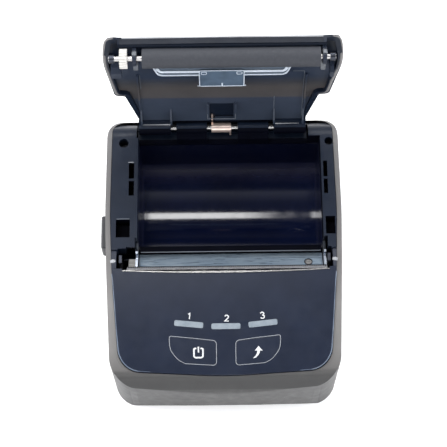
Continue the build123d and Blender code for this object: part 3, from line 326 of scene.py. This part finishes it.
ASSIGN = {
    "base_shell": "grey", "battery_cover": "grey", "release_button": "greykey", "battery_cells": "cells", "battery_contacts": "gold",
    "battery_cover_screws": "screwblack", "battery_sleeve": "wrap", "board_chips": "black", "case_screws": "screwblack",
    "charging_jack": "black", "control_panel": "panel", "cover_liner": "liner", "cover_shell": "dark", "drive_gear": "nylon",
    "feed_button": "button", "power_button": "button", "gear_axles": "steel", "guide_clip": "sheet", "head_flat_cable": "film",
    "head_heatsink": "sheet", "head_screws": "steel", "head_springs": "steel", "heater_line": "head", "hinge_pin": "steel",
    "hinge_spring": "copper", "latch_collars": "darkmetal", "latch_lever": "darkmetal", "led_chips": "lens", "led_window_left": "lens",
    "led_window_middle": "lens", "led_window_right": "lens", "main_board": "pcb", "mechanism_chassis": "sheet",
    "motor_pinion": "gold", "paper_guide": "sheet", "paper_sensor": "black", "paper_well": "well", "platen_bush_left": "bronze",
    "platen_bush_right": "bronze", "platen_gear": "nylon", "platen_rubber": "rubber", "platen_shaft": "steel", "port_board": "pcb",
    "rail_screws": "screwblack", "reduction_gear": "nylon", "release_bracket": "black", "release_spring": "steel",
    "roll_frame": "dark", "stepper_motor": "steel", "tact_switches": "black", "tear_bar": "tear", "thermal_head": "head",
    "usb_socket": "steel",
}
for n, o in nodes.items():
    mat = M[ASSIGN[n]]
    if len(o.material_slots) == 0:
        o.data.materials.append(mat)
    for s in o.material_slots:
        s.material = mat


# ------------------------------------------------------------------ refined skins of the moulded pieces
BODY = {}
for body, members in frame["record"]["behaviour"]["bodies"].items():
    for n in members:
        BODY[n] = body


def link(o):
    bpy.context.scene.collection.objects.link(o)
    return o


def refine(node, width, mat, name, segs=3, angle=28.0, zones=(), merge=0.6):
    """Copy of a moulded piece with softened edges and smooth curved faces."""
    src = nodes[node]
    me = src.data.copy()
    me.name = name
    o = link(bpy.data.objects.new(name, me))
    bm = bmesh.new()
    bm.from_mesh(me)
    bmesh.ops.remove_doubles(bm, verts=bm.verts, dist=0.000004)
    bmesh.ops.dissolve_limit(bm, angle_limit=math.radians(merge), verts=bm.verts, edges=bm.edges)
    bm.to_mesh(me)
    bm.free()
    me.materials.clear()
    me.materials.append(mat)
    if width > 0:
        mod = o.modifiers.new("soft_edges", "BEVEL")
        mod.width = width
        mod.segments = segs
        mod.limit_method = "ANGLE"
        mod.angle_limit = math.radians(angle)
        mod.use_clamp_overlap = True
        mod.miter_outer = "MITER_ARC"
        mod.harden_normals = False
        apply_all(o)
    o.data.shade_smooth()
    o.data.set_sharp_from_angle(angle=math.radians(32))
    mod = o.modifiers.new("even_faces", "WEIGHTED_NORMAL")
    mod.mode = "FACE_AREA"
    mod.weight = 80
    mod.keep_sharp = True
    apply_all(o)
    for zm, test in zones:
        o.data.materials.append(zm)
        k = len(o.data.materials) - 1
        for f in o.data.polygons:
            c = f.center / MM
            if test(c.x, c.y, c.z):
                f.material_index = k
    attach(o, BODY[node])
    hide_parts(node)
    return o


def apply_all(o):
    bpy.context.view_layer.objects.active = o
    o.select_set(True)
    for m in list(o.modifiers):
        bpy.ops.object.modifier_apply(modifier=m.name)
    o.select_set(False)


refine("base_shell", 0.0005, M["grey"], "grey_case_shell", merge=0.04)
refine("roll_frame", 0.0002, M["dark"], "side_rails", zones=[
    (M["shade"], lambda x, y, z: abs(x) < 42 and 50.5 < y < 56.3 and z < 54.5),
    (M["shade"], lambda x, y, z: z < 51.6 and 1.0 < y < 12.0 and (x < -43.0 or x > 47.0)),
    (M["shade"], lambda x, y, z: z < 51.6 and 22.0 < y < 40.0 and abs(x) > 41.5)])
refine("control_panel", 0.0003, M["panel"], "front_panel", merge=0.04)
refine("cover_shell", 0.0004, M["dark"], "paper_cover_shell", zones=[
    (M["shade"], lambda x, y, z: y < 56.3 and z < 54.0),
    # the lid's front lip face takes the darker copy: painted shade
    (M["lipface"], lambda x, y, z: z > 119.2 and abs(x) < 44.6)])
refine("cover_liner", 0.0002, M["liner"], "paper_cover_liner", zones=[
    (M["shade"], lambda x, y, z: y < 56.3 and z < 54.0)])
refine("paper_well", 0.0002, M["well"], "curved_paper_well", zones=[
    (M["shade"], lambda x, y, z: y < 0.6 and z > 39.0)])
refine("release_button", 0.0003, M["greykey"], "cover_release_key")

# ------------------------------------------------------------------ builders for the fine pieces
A0 = math.radians(-95)


def C(x, y, z):
    """A place on the closed cover, in mm, carried to where the open cover has it, in metres."""
    dy, dz = y - 58.0, z - 50.5
    return Vector((x, 58.0 + dy * math.cos(A0) - dz * math.sin(A0), 50.5 + dy * math.sin(A0) + dz * math.cos(A0))) * MM


def W(x, y, z):
    return Vector((x, y, z)) * MM


def pz(y):
    t = (y + 62.3) / 48.7
    return 42.4 + 11.7 * t + 2.7 * t * (1 - t)


def finish_mesh(name, verts, faces, mat, body, smooth=True):
    me = bpy.data.meshes.new(name)
    me.from_pydata([tuple(v) for v in verts], [], faces)
    me.validate()
    bm = bmesh.new()
    bm.from_mesh(me)
    bmesh.ops.recalc_face_normals(bm, faces=bm.faces)
    bm.to_mesh(me)
    bm.free()
    me.materials.append(mat)
    if smooth:
        me.shade_smooth()
        me.set_sharp_from_angle(angle=math.radians(40))
    o = link(bpy.data.objects.new(name, me))
    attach(o, body)
    return o


def ring_profile(w, h, n=10):
    return [(0.5 * w * math.cos(2 * math.pi * k / n), 0.5 * h * math.sin(2 * math.pi * k / n)) for k in range(n)]


def flat_profile(w, h):
    c = min(w, h) * 0.25
    return [(-w / 2 + c, -h / 2), (w / 2 - c, -h / 2), (w / 2, -h / 2 + c), (w / 2, h / 2 - c), (w / 2 - c, h / 2), (-w / 2 + c, h / 2),
            (-w / 2, h / 2 - c), (-w / 2, -h / 2 + c)]


def sweep(name, pts, prof, up, mat, body, closed=False, scales=None):
    """A bead of the given section (mm) along points in metres, square to its path, leaning by the up direction."""
    n = len(pts)
    verts, faces = [], []
    m = len(prof)
    for i, p in enumerate(pts):
        a = pts[(i - 1) % n] if (closed or i > 0) else pts[i]
        b = pts[(i + 1) % n] if (closed or i < n - 1) else pts[i]
        t1 = (p - a).normalized() if (p - a).length > 1e-9 else (b - p).normalized()
        t2 = (b - p).normalized() if (b - p).length > 1e-9 else t1
        t = (t1 + t2).normalized()
        u0 = up(i) if callable(up) else Vector(up)
        side = t.cross(u0).normalized()
        u = side.cross(t).normalized()
        k = 1.0 / max(0.55, t.dot(t2))
        sc = scales[i] if scales else 1.0
        for (px, py) in prof:
            verts.append(p + side * (px * MM * k * sc) + u * (py * MM * sc))
    for i in range(n if closed else n - 1):
        j = (i + 1) % n
        for q in range(m):
            r = (q + 1) % m
            faces.append((i * m + q, i * m + r, j * m + r, j * m + q))
    if not closed:
        faces.append(tuple(range(m - 1, -1, -1)))
        faces.append(tuple((n - 1) * m + q for q in range(m)))
    return finish_mesh(name, verts, faces, mat, body)


def rounded(pts, r, steps=5):
    """2-D polygon corners replaced by short arcs; open path keeps its ends."""
    out = [pts[0]]
    for a, b, c in zip(pts, pts[1:], pts[2:]):
        va, vc = Vector(a) - Vector(b), Vector(c) - Vector(b)
        d = min(r, va.length * 0.48, vc.length * 0.48)
        p, q = Vector(b) + va.normalized() * d, Vector(b) + vc.normalized() * d
        for k in range(steps + 1):
            t = k / steps
            out.append(tuple((1 - t) ** 2 * p + 2 * t * (1 - t) * Vector(b) + t * t * q))
    out.append(pts[-1])
    return out


def rounded_loop(pts, r, steps=5):
    n = len(pts)
    out = []
    for i in range(n):
        a, b, c = pts[i - 1], pts[i], pts[(i + 1) % n]
        va, vc = Vector(a) - Vector(b), Vector(c) - Vector(b)
        rr = r[i] if isinstance(r, (list, tuple)) else r
        d = min(rr, va.length * 0.48, vc.length * 0.48)
        p, q = Vector(b) + va.normalized() * d, Vector(b) + vc.normalized() * d
        for k in range(steps + 1):
            t = k / steps
            out.append(tuple((1 - t) ** 2 * p + 2 * t * (1 - t) * Vector(b) + t * t * q))
    return out


def catmull(pts, per=6):
    out = []
    P = [pts[0]] + list(pts) + [pts[-1]]
    for i in range(1, len(P) - 2):
        p0, p1, p2, p3 = (Vector(q) for q in P[i - 1:i + 3])
        for k in range(per):
            t = k / per
            out.append(tuple(0.5 * ((2 * p1) + (-p0 + p2) * t + (2 * p0 - 5 * p1 + 4 * p2 - p3) * t * t + (-p0 + 3 * p1 - 3 * p2 + p3) * t ** 3)))
    out.append(tuple(pts[-1]))
    return out


def loft_prism(name, outline, place, z0, z1, mat, body, bevel=0.0):
    """Flat piece with the given outline (mm) between two levels, its edges eased; place(x, y, z) gives metres."""
    n = len(outline)
    cx, cy = sum(p[0] for p in outline) / n, sum(p[1] for p in outline) / n

    def shrink(p, d):
        v = Vector((p[0] - cx, p[1] - cy))
        l = v.length
        return (cx + v.x * (l - d) / l, cy + v.y * (l - d) / l) if l > d else p
    rings = [(bevel, z0), (0.0, z0 + bevel * (1 if z1 > z0 else -1)), (0.0, z1 - bevel * (1 if z1 > z0 else -1)), (bevel, z1)] if bevel else [(0.0, z0), (0.0, z1)]
    verts, faces = [], []
    for d, z in rings:
        verts += [place(*shrink(p, d), z) for p in outline]
    for r in range(len(rings) - 1):
        for i in range(n):
            j = (i + 1) % n
            faces.append((r * n + i, r * n + j, (r + 1) * n + j, (r + 1) * n + i))
    faces.append(tuple(range(n - 1, -1, -1)))
    faces.append(tuple((len(rings) - 1) * n + i for i in range(n)))
    return finish_mesh(name, verts, faces, mat, body)


UP_PANEL = Vector((0, -math.sin(math.radians(14.5)), math.cos(math.radians(14.5))))
COVER_IN = (C(0, 0, 0) - C(0, 0, 1)).normalized()          # out of the cover's inner face
COVER_IN_F = COVER_IN

# ------------------------------------------------------------------ panel: painted highlight lines round the keys, marks and numerals
# pale lines round the two keys: painted highlight of the gaps between keys and panel
for sgn, nm, body in ((-1, "left", "case"), (1, "right", "case")):
    xi = 4.0 if sgn < 0 else 5.0
    o2 = rounded([(14.0, -45.81), (25.2, -44.6), (25.2, -47.2)], 0.9, 4)
    o2 += catmull([(25.15, -48.0), (24.6, -50.6), (23.1, -52.9), (20.9, -55.1), (18.0, -56.6)], 5)[1:]
    o2 += rounded([(17.4, -56.66), (xi, -57.6), (xi, -46.9), (13.6, -45.86)], 1.8, 6)
    loop = []
    cx, cy = 14.6, -51.2
    for (x, y) in o2:
        v = Vector((x - cx, y - cy))
        v = v * ((v.length + 0.11) / v.length)
        x, y = cx + v.x, cy + v.y
        loop.append(W(sgn * x, y, pz(y) + 0.03))
    if sgn < 0:
        loop = loop[::-1]
    sweep("key_gap_painted_highlight_" + nm, loop, ring_profile(0.30, 0.26, 6), UP_PANEL, M["inkline"], body, closed=True)


# pale beads along the panel's outer edges and front corners: a painted highlight of the edge bevel
for sgn, nm in ((-1, "left"), (1, "right")):
    edge = [(51.45, -16.5), (51.05, -20.0), (50.2, -31.0), (49.35, -42.0), (48.64, -50.2)]
    for k in range(1, 13):
        t_ = math.radians(-4.6 - 82.6 * k / 12)
        edge.append((38.05 + 10.6 * math.cos(t_), -49.24 + 10.6 * math.sin(t_)))
    edge.append((34.0, -60.1))
    sc = [0.75] + [0.85] * 3 + [1.0] * 11 + [0.8, 0.4][:len(edge) - 15]
    sweep("panel_edge_painted_highlight_" + nm, [W(sgn * x, y, pz(y) - 0.03) for x, y in edge], ring_profile(0.55, 0.22, 8), UP_PANEL, M["paneledge"], "case", scales=(sc + [0.4] * len(edge))[:len(edge)])


def mark(name, pts, width, body, lift, closed=False, up=UP_PANEL):
    path = [W(x, y, pz(y) + lift) for x, y in pts]
    return sweep(name, path, flat_profile(width, 0.12), up, M["ink"], body, closed=closed)


# power sign: a square ring with round corners, open at the top, and a bar
pc = (-12.1, -52.2)
u = rounded([(-0.95, 2.0), (-2.05, 2.0), (-2.05, -2.0), (2.05, -2.0), (2.05, 2.0), (0.95, 2.0)], 1.1, 5)
mark("power_sign_ring", [(pc[0] + x, pc[1] + y) for x, y in u], 0.72, "power_button", 0.15)
mark("power_sign_bar", [(pc[0], pc[1] + 2.75), (pc[0], pc[1] + 1.5), (pc[0], pc[1] + 0.2)], 0.66, "power_button", 0.16)
# feed sign: an arrow that bends up
fc = (14.6, -52.0)
arrow = [(0.65, 2.6), (2.45, 0.55), (1.35, 0.62), (1.1, -0.35), (0.45, -1.45), (-0.6, -2.45), (-2.0, -2.75), (-0.85, -1.75), (-0.2, -0.75), (0.0, 0.1), (-0.05, 0.62), (-1.1, 0.55)]
loft_prism("feed_sign", [(fc[0] + x, fc[1] + y) for x, y in arrow], lambda x, y, z: W(x, y, pz(y) + z), 0.08, 0.19, M["ink"], "feed_button")

# numerals over the three lights
def numeral(name, kind, cx, cy, deg):
    k = {
        "1": [[(-0.65, 0.75), (0.05, 1.3), (0.05, -1.3)]],
        "2": [catmull([(-0.8, 0.75), (-0.35, 1.25), (0.35, 1.25), (0.8, 0.7), (0.55, 0.05), (-0.85, -1.25)], 4) + [(0.9, -1.25)]],
        "3": [catmull([(-0.8, 0.9), (-0.3, 1.3), (0.4, 1.25), (0.75, 0.7), (0.35, 0.15), (-0.15, 0.08)], 4),
              catmull([(-0.15, 0.08), (0.45, 0.0), (0.85, -0.55), (0.5, -1.2), (-0.25, -1.32), (-0.85, -0.9)], 4)],
    }[kind]
    a = math.radians(deg)
    for i, st in enumerate(k):
        mark("%s_%d" % (name, i), [(cx + x * math.cos(a) - y * math.sin(a), cy + x * math.sin(a) + y * math.cos(a)) for x, y in st], 0.5, "case", 0.05)


numeral("numeral_one", "1", -16.0, -35.9, -5.5)
numeral("numeral_two", "2", 0.9, -37.0, 0.0)
numeral("numeral_three", "3", 17.2, -35.9, 5.5)

# ------------------------------------------------------------------ cover: wire guide, clip plate, liner ribs, cheek beads in painted highlight colour
gp = rounded([(-30.6, 7.4), (-28.6, 14.0), (29.0, 14.0), (31.0, 7.2)], 2.4, 8)
sweep("guide_wire_outer", [C(x, y, 52.6) for x, y in gp], ring_profile(0.8, 0.8, 10), COVER_IN, M["outline"], "cover")
gp = rounded([(-29.2, 8.0), (-27.9, 10.9), (28.3, 10.9), (29.6, 7.8)], 1.6, 6)
sweep("guide_wire_inner", [C(x, y, 52.4) for x, y in gp], ring_profile(1.5, 0.8, 8), COVER_IN, M["outline"], "cover")
tray = rounded_loop([(-29.6, 7.8), (-28.2, 13.8), (28.6, 13.8), (30.0, 7.6)], [0.3, 2.0, 2.0, 0.3], 5)
o = loft_prism("guide_strip", tray, C, 52.75, 53.9, M["guide"], "cover", 0.15)
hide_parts("paper_guide")

plate = rounded_loop([(-10.1, 9.5), (-10.1, 22.5), (10.1, 22.5), (10.1, 9.5)], 1.0, 5)
o = loft_prism("guide_clip_plate", plate, C, 51.95, 52.5, M["clip"], "cover", 0.1)
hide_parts("guide_clip")
# bright beads round the clip plate and its two slots: painted edge highlights
sweep("clip_painted_edge_highlight", [C(x, y, 51.95) for x, y in plate], ring_profile(0.46, 0.46, 8), COVER_IN, M["outline"], "cover", closed=True)
for s_, nm in ((-1, "left"), (1, "right")):
    ob = rounded_loop([(s_ * 9.2, 10.6), (s_ * 9.2, 12.6), (s_ * 6.8, 12.6), (s_ * 6.8, 10.6)], 0.9, 5)
    sweep("clip_slot_painted_highlight_" + nm, [C(x, y, 51.93) for x, y in ob], ring_profile(0.34, 0.34, 6), COVER_IN, M["outline"], "cover", closed=True)
    sweep("clip_foot_" + nm, [C(s_ * 10.0, 22.0, 52.0), C(s_ * 10.3, 23.4, 52.6), C(s_ * 10.9, 24.6, 53.4)], flat_profile(0.5, 0.5), COVER_IN, M["outline"], "cover")
sweep("clip_tick", [C(0.2, 22.2, 51.93), C(0.2, 21.0, 51.9), C(0.2, 20.0, 51.95)], flat_profile(0.7, 0.3), COVER_IN, M["outline"], "cover")
sweep("clip_shadow_bar", [C(-9.8, 24.0, 53.7), C(0.0, 24.05, 53.68), C(9.8, 24.0, 53.7)], flat_profile(0.9, 0.5), COVER_IN, M["black"], "cover")


def lid_in(y):
    """Height of the liner's inner face on the closed cover."""
    P = [(-13.6, 55.4), (-8.6, 57.7), (2.0, 58.0), (24.0, 58.0), (44.0, 56.8), (59.5, 53.4)]
    for (a, za), (b, zb) in zip(P, P[1:]):
        if a <= y <= b:
            return za + (zb - za) * (y - a) / (b - a) - 3.47
    return 53.0


def rib(name, xa, ya, xb, yb, w=0.28, h=0.3, mat="line"):
    pts = [C(xa + (xb - xa) * k / 8, ya + (yb - ya) * k / 8, lid_in(ya + (yb - ya) * k / 8) - 0.02) for k in range(9)]
    return sweep(name, pts, flat_profile(w, h), COVER_IN, M[mat], "cover")


rib("liner_line_right", 37.6, 14.4, 37.6, 50.0)
rib("liner_line_right_top", 32.4, 14.4, 37.6, 14.4)
rib("liner_line_left", -37.4, 16.5, -37.4, 28.0)
rib("liner_line_mid", 24.3, 35.0, 24.3, 50.0, 0.26)
rib("window_frame_left", -6.9, 40.2, -6.9, 51.6, 0.4, 0.4)
rib("window_frame_right", 6.3, 40.2, 6.3, 51.6, 0.4, 0.4)
rib("window_frame_low", -6.9, 51.6, 6.3, 51.6, 0.35, 0.4)
for i, x in enumerate((-38.2, -24.2, 24.5, 38.2)):
    z1, z2 = lid_in(43.0), lid_in(52.8)
    tri = [(43.5, z1 + 0.4), (52.8, z2 + 0.4), (52.8, z2 - 2.3), (50.5, z2 - 1.7)]
    vs = [C(x - 0.4, y, z) for y, z in tri] + [C(x + 0.4, y, z) for y, z in tri]
    fs = [(0, 1, 2, 3), (7, 6, 5, 4), (0, 4, 5, 1), (1, 5, 6, 2), (2, 6, 7, 3), (3, 7, 4, 0)]
    finish_mesh("hinge_fin_%d" % i, vs, fs, M["liner"], "cover", smooth=False)

# bead along the free edge of each cheek, thick at the front ear and thinner behind; its light colour is a painted
# highlight
for s_, nm, add in ((-1, "left", 0.0), (1, "right", 1.3)):
    path = catmull([(45.9, -11.6), (47.6, -12.2), (49.4, -11.7), (50.7, -9.4), (51.5, -4.5), (51.75, 2.0), (51.3, 9.0), (50.4, 17.0), (49.3, 24.5), (48.4, 29.0), (46.6, 30.4), (44.6, 30.9)], 5)
    n = len(path)
    pts, sc = [], []
    for i, (x, y) in enumerate(path):
        ex = add * max(0.0, min(1.0, (20.0 - y) / 14.0))
        z = 52.68
        if y < -3.0:
            z = 52.68 + min(1.0, (-3.0 - y) / 7.6) * 2.3
        pts.append(C(s_ * (x + ex), y, z))
        sc.append(1.0 if 4 < i < n - 8 else 0.8)
    sweep("cheek_bead_painted_highlight_" + nm, pts, ring_profile(1.8, 0.9, 12), COVER_IN, M["rim"], "cover", scales=sc)

# the lid's front edge: a painted highlight line along its outer top border
def lip_line(name, y, z, w, mat, x0=-43.5, x1=44.5):
    pts = [C(x0 + (x1 - x0) * k / 20, y, z) for k in range(21)]
    return sweep(name, pts, ring_profile(w, w, 8), COVER_IN, M[mat], "cover")


lip_line("lip_top_line", -12.0, 55.6, 0.8, "painted_highlight_line")


# knuckles: a painted highlight line along the top of the two outer cover barrels
def knuckle_line(name, x0, x1, body, taper):
    pts = [W(x0 + (x1 - x0) * k / 12, 58.35, 53.70) for k in range(13)]
    sc = [1.0 - taper[0] * (1 - k / 12) - taper[1] * (k / 12) for k in range(13)]
    return sweep(name, pts, ring_profile(0.62, 0.34, 8), Vector((0, 0.1, 1)), M["painted_highlight_line"], body, scales=sc)


knuckle_line("barrel_painted_highlight_0", -38.6, -24.6, "cover", (0.6, 0.0))
knuckle_line("barrel_painted_highlight_3", 25.2, 36.5, "cover", (0.1, 0.6))
sweep("hinge_gap_shade", [C(x, 53.1, lid_in(53.1) - 0.1) for x in (-38.6, -20.0, 0.0, 20.0, 38.4)], flat_profile(0.9, 0.3), COVER_IN, M["shade"], "cover")

# bearing blocks beside the roller
for nm, x, y0, y1 in (("left_front", -38.0, -10.4, -8.4), ("left_rear", -38.0, -3.4, 3.4), ("right_front", 45.1, -10.4, -8.2), ("right_rear", 45.0, -3.4, 4.6)):
    z = 45.6 if "front" in nm else 47.6
    ol = rounded_loop([(x - 1.05, y0), (x - 1.05, y1), (x + 1.05, y1), (x + 1.05, y0)], 0.6, 4)
    loft_prism("bearing_pad_" + nm, ol, C, z + (2.2 if "front" in nm else 1.0), z + 4.2, M["pad"], "cover", 0.15)

# tear bar: painted shade behind the teeth and along their root; bow() and tear_line() give a line bowed like the ledge,
# which nothing below calls
def bow(x, y0, sag):
    t = (x - 0.8) / 47.5
    return y0 - sag * (1 - t * t)


def tear_line(name, y0, sag, z, w, h, mat, x0=-46.0, x1=47.6):
    pts = [W(x0 + (x1 - x0) * k / 24, bow(x0 + (x1 - x0) * k / 24, y0, sag), z) for k in range(25)]
    return sweep(name, pts, flat_profile(w, h), Vector((0, 0, 1)), M[mat], "case")


sweep("tear_back_shade", [W(-44.4, -13.62, 53.50), W(0.0, -13.62, 53.50), W(47.2, -13.62, 53.50)], flat_profile(1.0, 0.10), Vector((0, -0.482, 0.876)), M["shade"], "case")
sweep("tear_root_shade", [W(-46.4, -14.98, 53.55), W(0.0, -14.98, 53.55), W(48.0, -14.98, 53.55)], flat_profile(0.42, 0.5), Vector((0, 0, 1)), M["shade"], "case")
# a line on the well lip's front edge: painted highlight
sweep("well_lip_painted_highlight", [W(-38.8, -3.0, 44.62), W(3.0, -3.0, 44.66), W(45.2, -3.0, 44.62)], ring_profile(0.5, 0.4, 8), Vector((0, 0, 1)), M["line"], "case")
# dark ring around the head screw: painted shade
ringc = []
for k in range(20):
    t_ = 2 * math.pi * k / 20
    a_, b_ = 4.4 + 1.72 * math.sin(t_), 0.02
    r_ = math.radians(20.0)
    ringc.append(W(39.4 + 1.72 * math.cos(t_), -12.4 + a_ * math.cos(r_) + b_ * math.sin(r_), 45.31 - a_ * math.sin(r_) + b_ * math.cos(r_)))
sweep("head_screw_painted_shade_ring", ringc, ring_profile(0.5, 0.2, 6), Vector((0, math.sin(math.radians(20)), math.cos(math.radians(20)))), M["shade"], "case", closed=True)
# wing lugs, rail details
for s_, nm in ((-1, "left"), (1, "right")):
    # small lugs at the wing corners; their light grey colour is a painted highlight
    sweep("wing_lug_painted_highlight_" + nm, [W(s_ * 50.0, -10.1, 53.15), W(s_ * 51.1, -10.3, 53.35), W(s_ * 52.2, -10.5, 53.1)], ring_profile(1.9, 1.2, 10), Vector((0, 0, 1)), M["painted_highlight_line"], "case", scales=[0.7, 1.0, 0.75])
# a line on the left pocket's edge: painted highlight
sweep("pocket_edge_painted_highlight_left", [W(-49.8, 11.0, 51.98), W(-46.8, 11.05, 52.0), W(-43.8, 11.0, 51.98)], flat_profile(0.3, 0.16), Vector((0, 0, 1)), M["line"], "case")
# a pale line on the left slot's top edge: painted highlight
sweep("slot_edge_painted_highlight_left", [W(-44.6, 39.7, 51.98), W(-43.2, 39.75, 52.0), W(-42.2, 39.7, 51.98)], flat_profile(0.35, 0.16), Vector((0, 0, 1)), M["inkline"], "case")

# ------------------------------------------------------------------ floor, lights, camera
fm, nt, b = new_mat("pale_floor")
v = coords(nt)
nt.links.new(ramp(nt, noise(nt, v, 3.0), [(0.3, (0.90, 0.90, 0.90)), (0.7, (0.93, 0.93, 0.93))]), b.inputs["Base Color"])
nt.links.new(maprange(nt, noise(nt, v, 20.0), 0.3, 0.7, 0.6, 0.75), b.inputs["Roughness"])
b.inputs["Emission Color"].default_value = (1.0, 1.0, 1.0, 1)
b.inputs["Emission Strength"].default_value = 0.30
me = bpy.data.meshes.new("floor")
s = 4.0
me.from_pydata([(-s, -s, 0), (s, -s, 0), (s, s, 0), (-s, s, 0)], [], [(0, 1, 2, 3)])
me.materials.append(fm)
floor = link(bpy.data.objects.new("floor", me))

bpy.context.scene.view_settings.view_transform = "Standard"
w = bpy.data.worlds.new("studio")
bpy.context.scene.world = w
w.use_nodes = True
wt = w.node_tree
bg = wt.nodes["Background"]
tc = wt.nodes.new("ShaderNodeTexCoord")
sx = wt.nodes.new("ShaderNodeSeparateXYZ")
wt.links.new(tc.outputs["Generated"], sx.inputs[0])
rp = wt.nodes.new("ShaderNodeValToRGB")
rp.color_ramp.elements[0].position = 0.0
rp.color_ramp.elements[0].color = (0.80, 0.81, 0.83, 1)
rp.color_ramp.elements[1].position = 1.0
rp.color_ramp.elements[1].color = (0.07, 0.075, 0.10, 1)
for p_, c_ in ((0.4, (0.75, 0.77, 0.80, 1)), (0.72, (0.38, 0.40, 0.46, 1)), (0.9, (0.12, 0.13, 0.16, 1))):
    e_ = rp.color_ramp.elements.new(p_)
    e_.color = c_
wt.links.new(sx.outputs["Z"], rp.inputs[0])
wt.links.new(rp.outputs[0], bg.inputs[0])
bg.inputs[1].default_value = 0.9


def area(name, loc, target, size, energy, size_y=None, rot=None):
    l = bpy.data.lights.new(name, "AREA")
    l.energy = energy
    l.size = size
    if size_y:
        l.shape = "RECTANGLE"
        l.size_y = size_y
    o = link(bpy.data.objects.new(name, l))
    o.location = loc
    if rot is None:
        d = Vector(target) - Vector(loc)
        o.rotation_euler = d.to_track_quat("-Z", "Y").to_euler()
    else:
        o.rotation_euler = rot
    return o


area("overhead_strip", (-0.205, 0.085, 1.0), None, 0.50, 3.8, 0.22, rot=(0, 0, 0))
area("left_box", (-1.0, 0.0, 0.45), (0, 0, 0.03), 0.9, 13.5, 0.6)
area("right_box", (1.0, 0.0, 0.45), (0, 0, 0.03), 0.9, 12.0, 0.6)
area("front_box", (0.0, -1.2, 0.6), (0, 0, 0.03), 1.2, 5.2, 0.5)
area("back_box", (0.0, 0.72, 0.78), (0, 0.05, 0.1), 0.9, 6.0, 0.25)

cam_d = bpy.data.cameras.new("camera")
cam = link(bpy.data.objects.new("camera", cam_d))
D, E = 0.650, math.radians(69)
P0 = Vector((0, 0.007, 0.055))
cam.location = P0 + D * Vector((0, -math.cos(E), math.sin(E)))
rot = Matrix.Rotation(math.radians(90 - 69), 4, "X") @ Matrix.Rotation(math.radians(-0.7), 4, "Z")
cam.rotation_euler = rot.to_euler()
cam_d.sensor_width = 36
cam_d.lens = 1404 / 447 * 36
bpy.context.scene.camera = cam
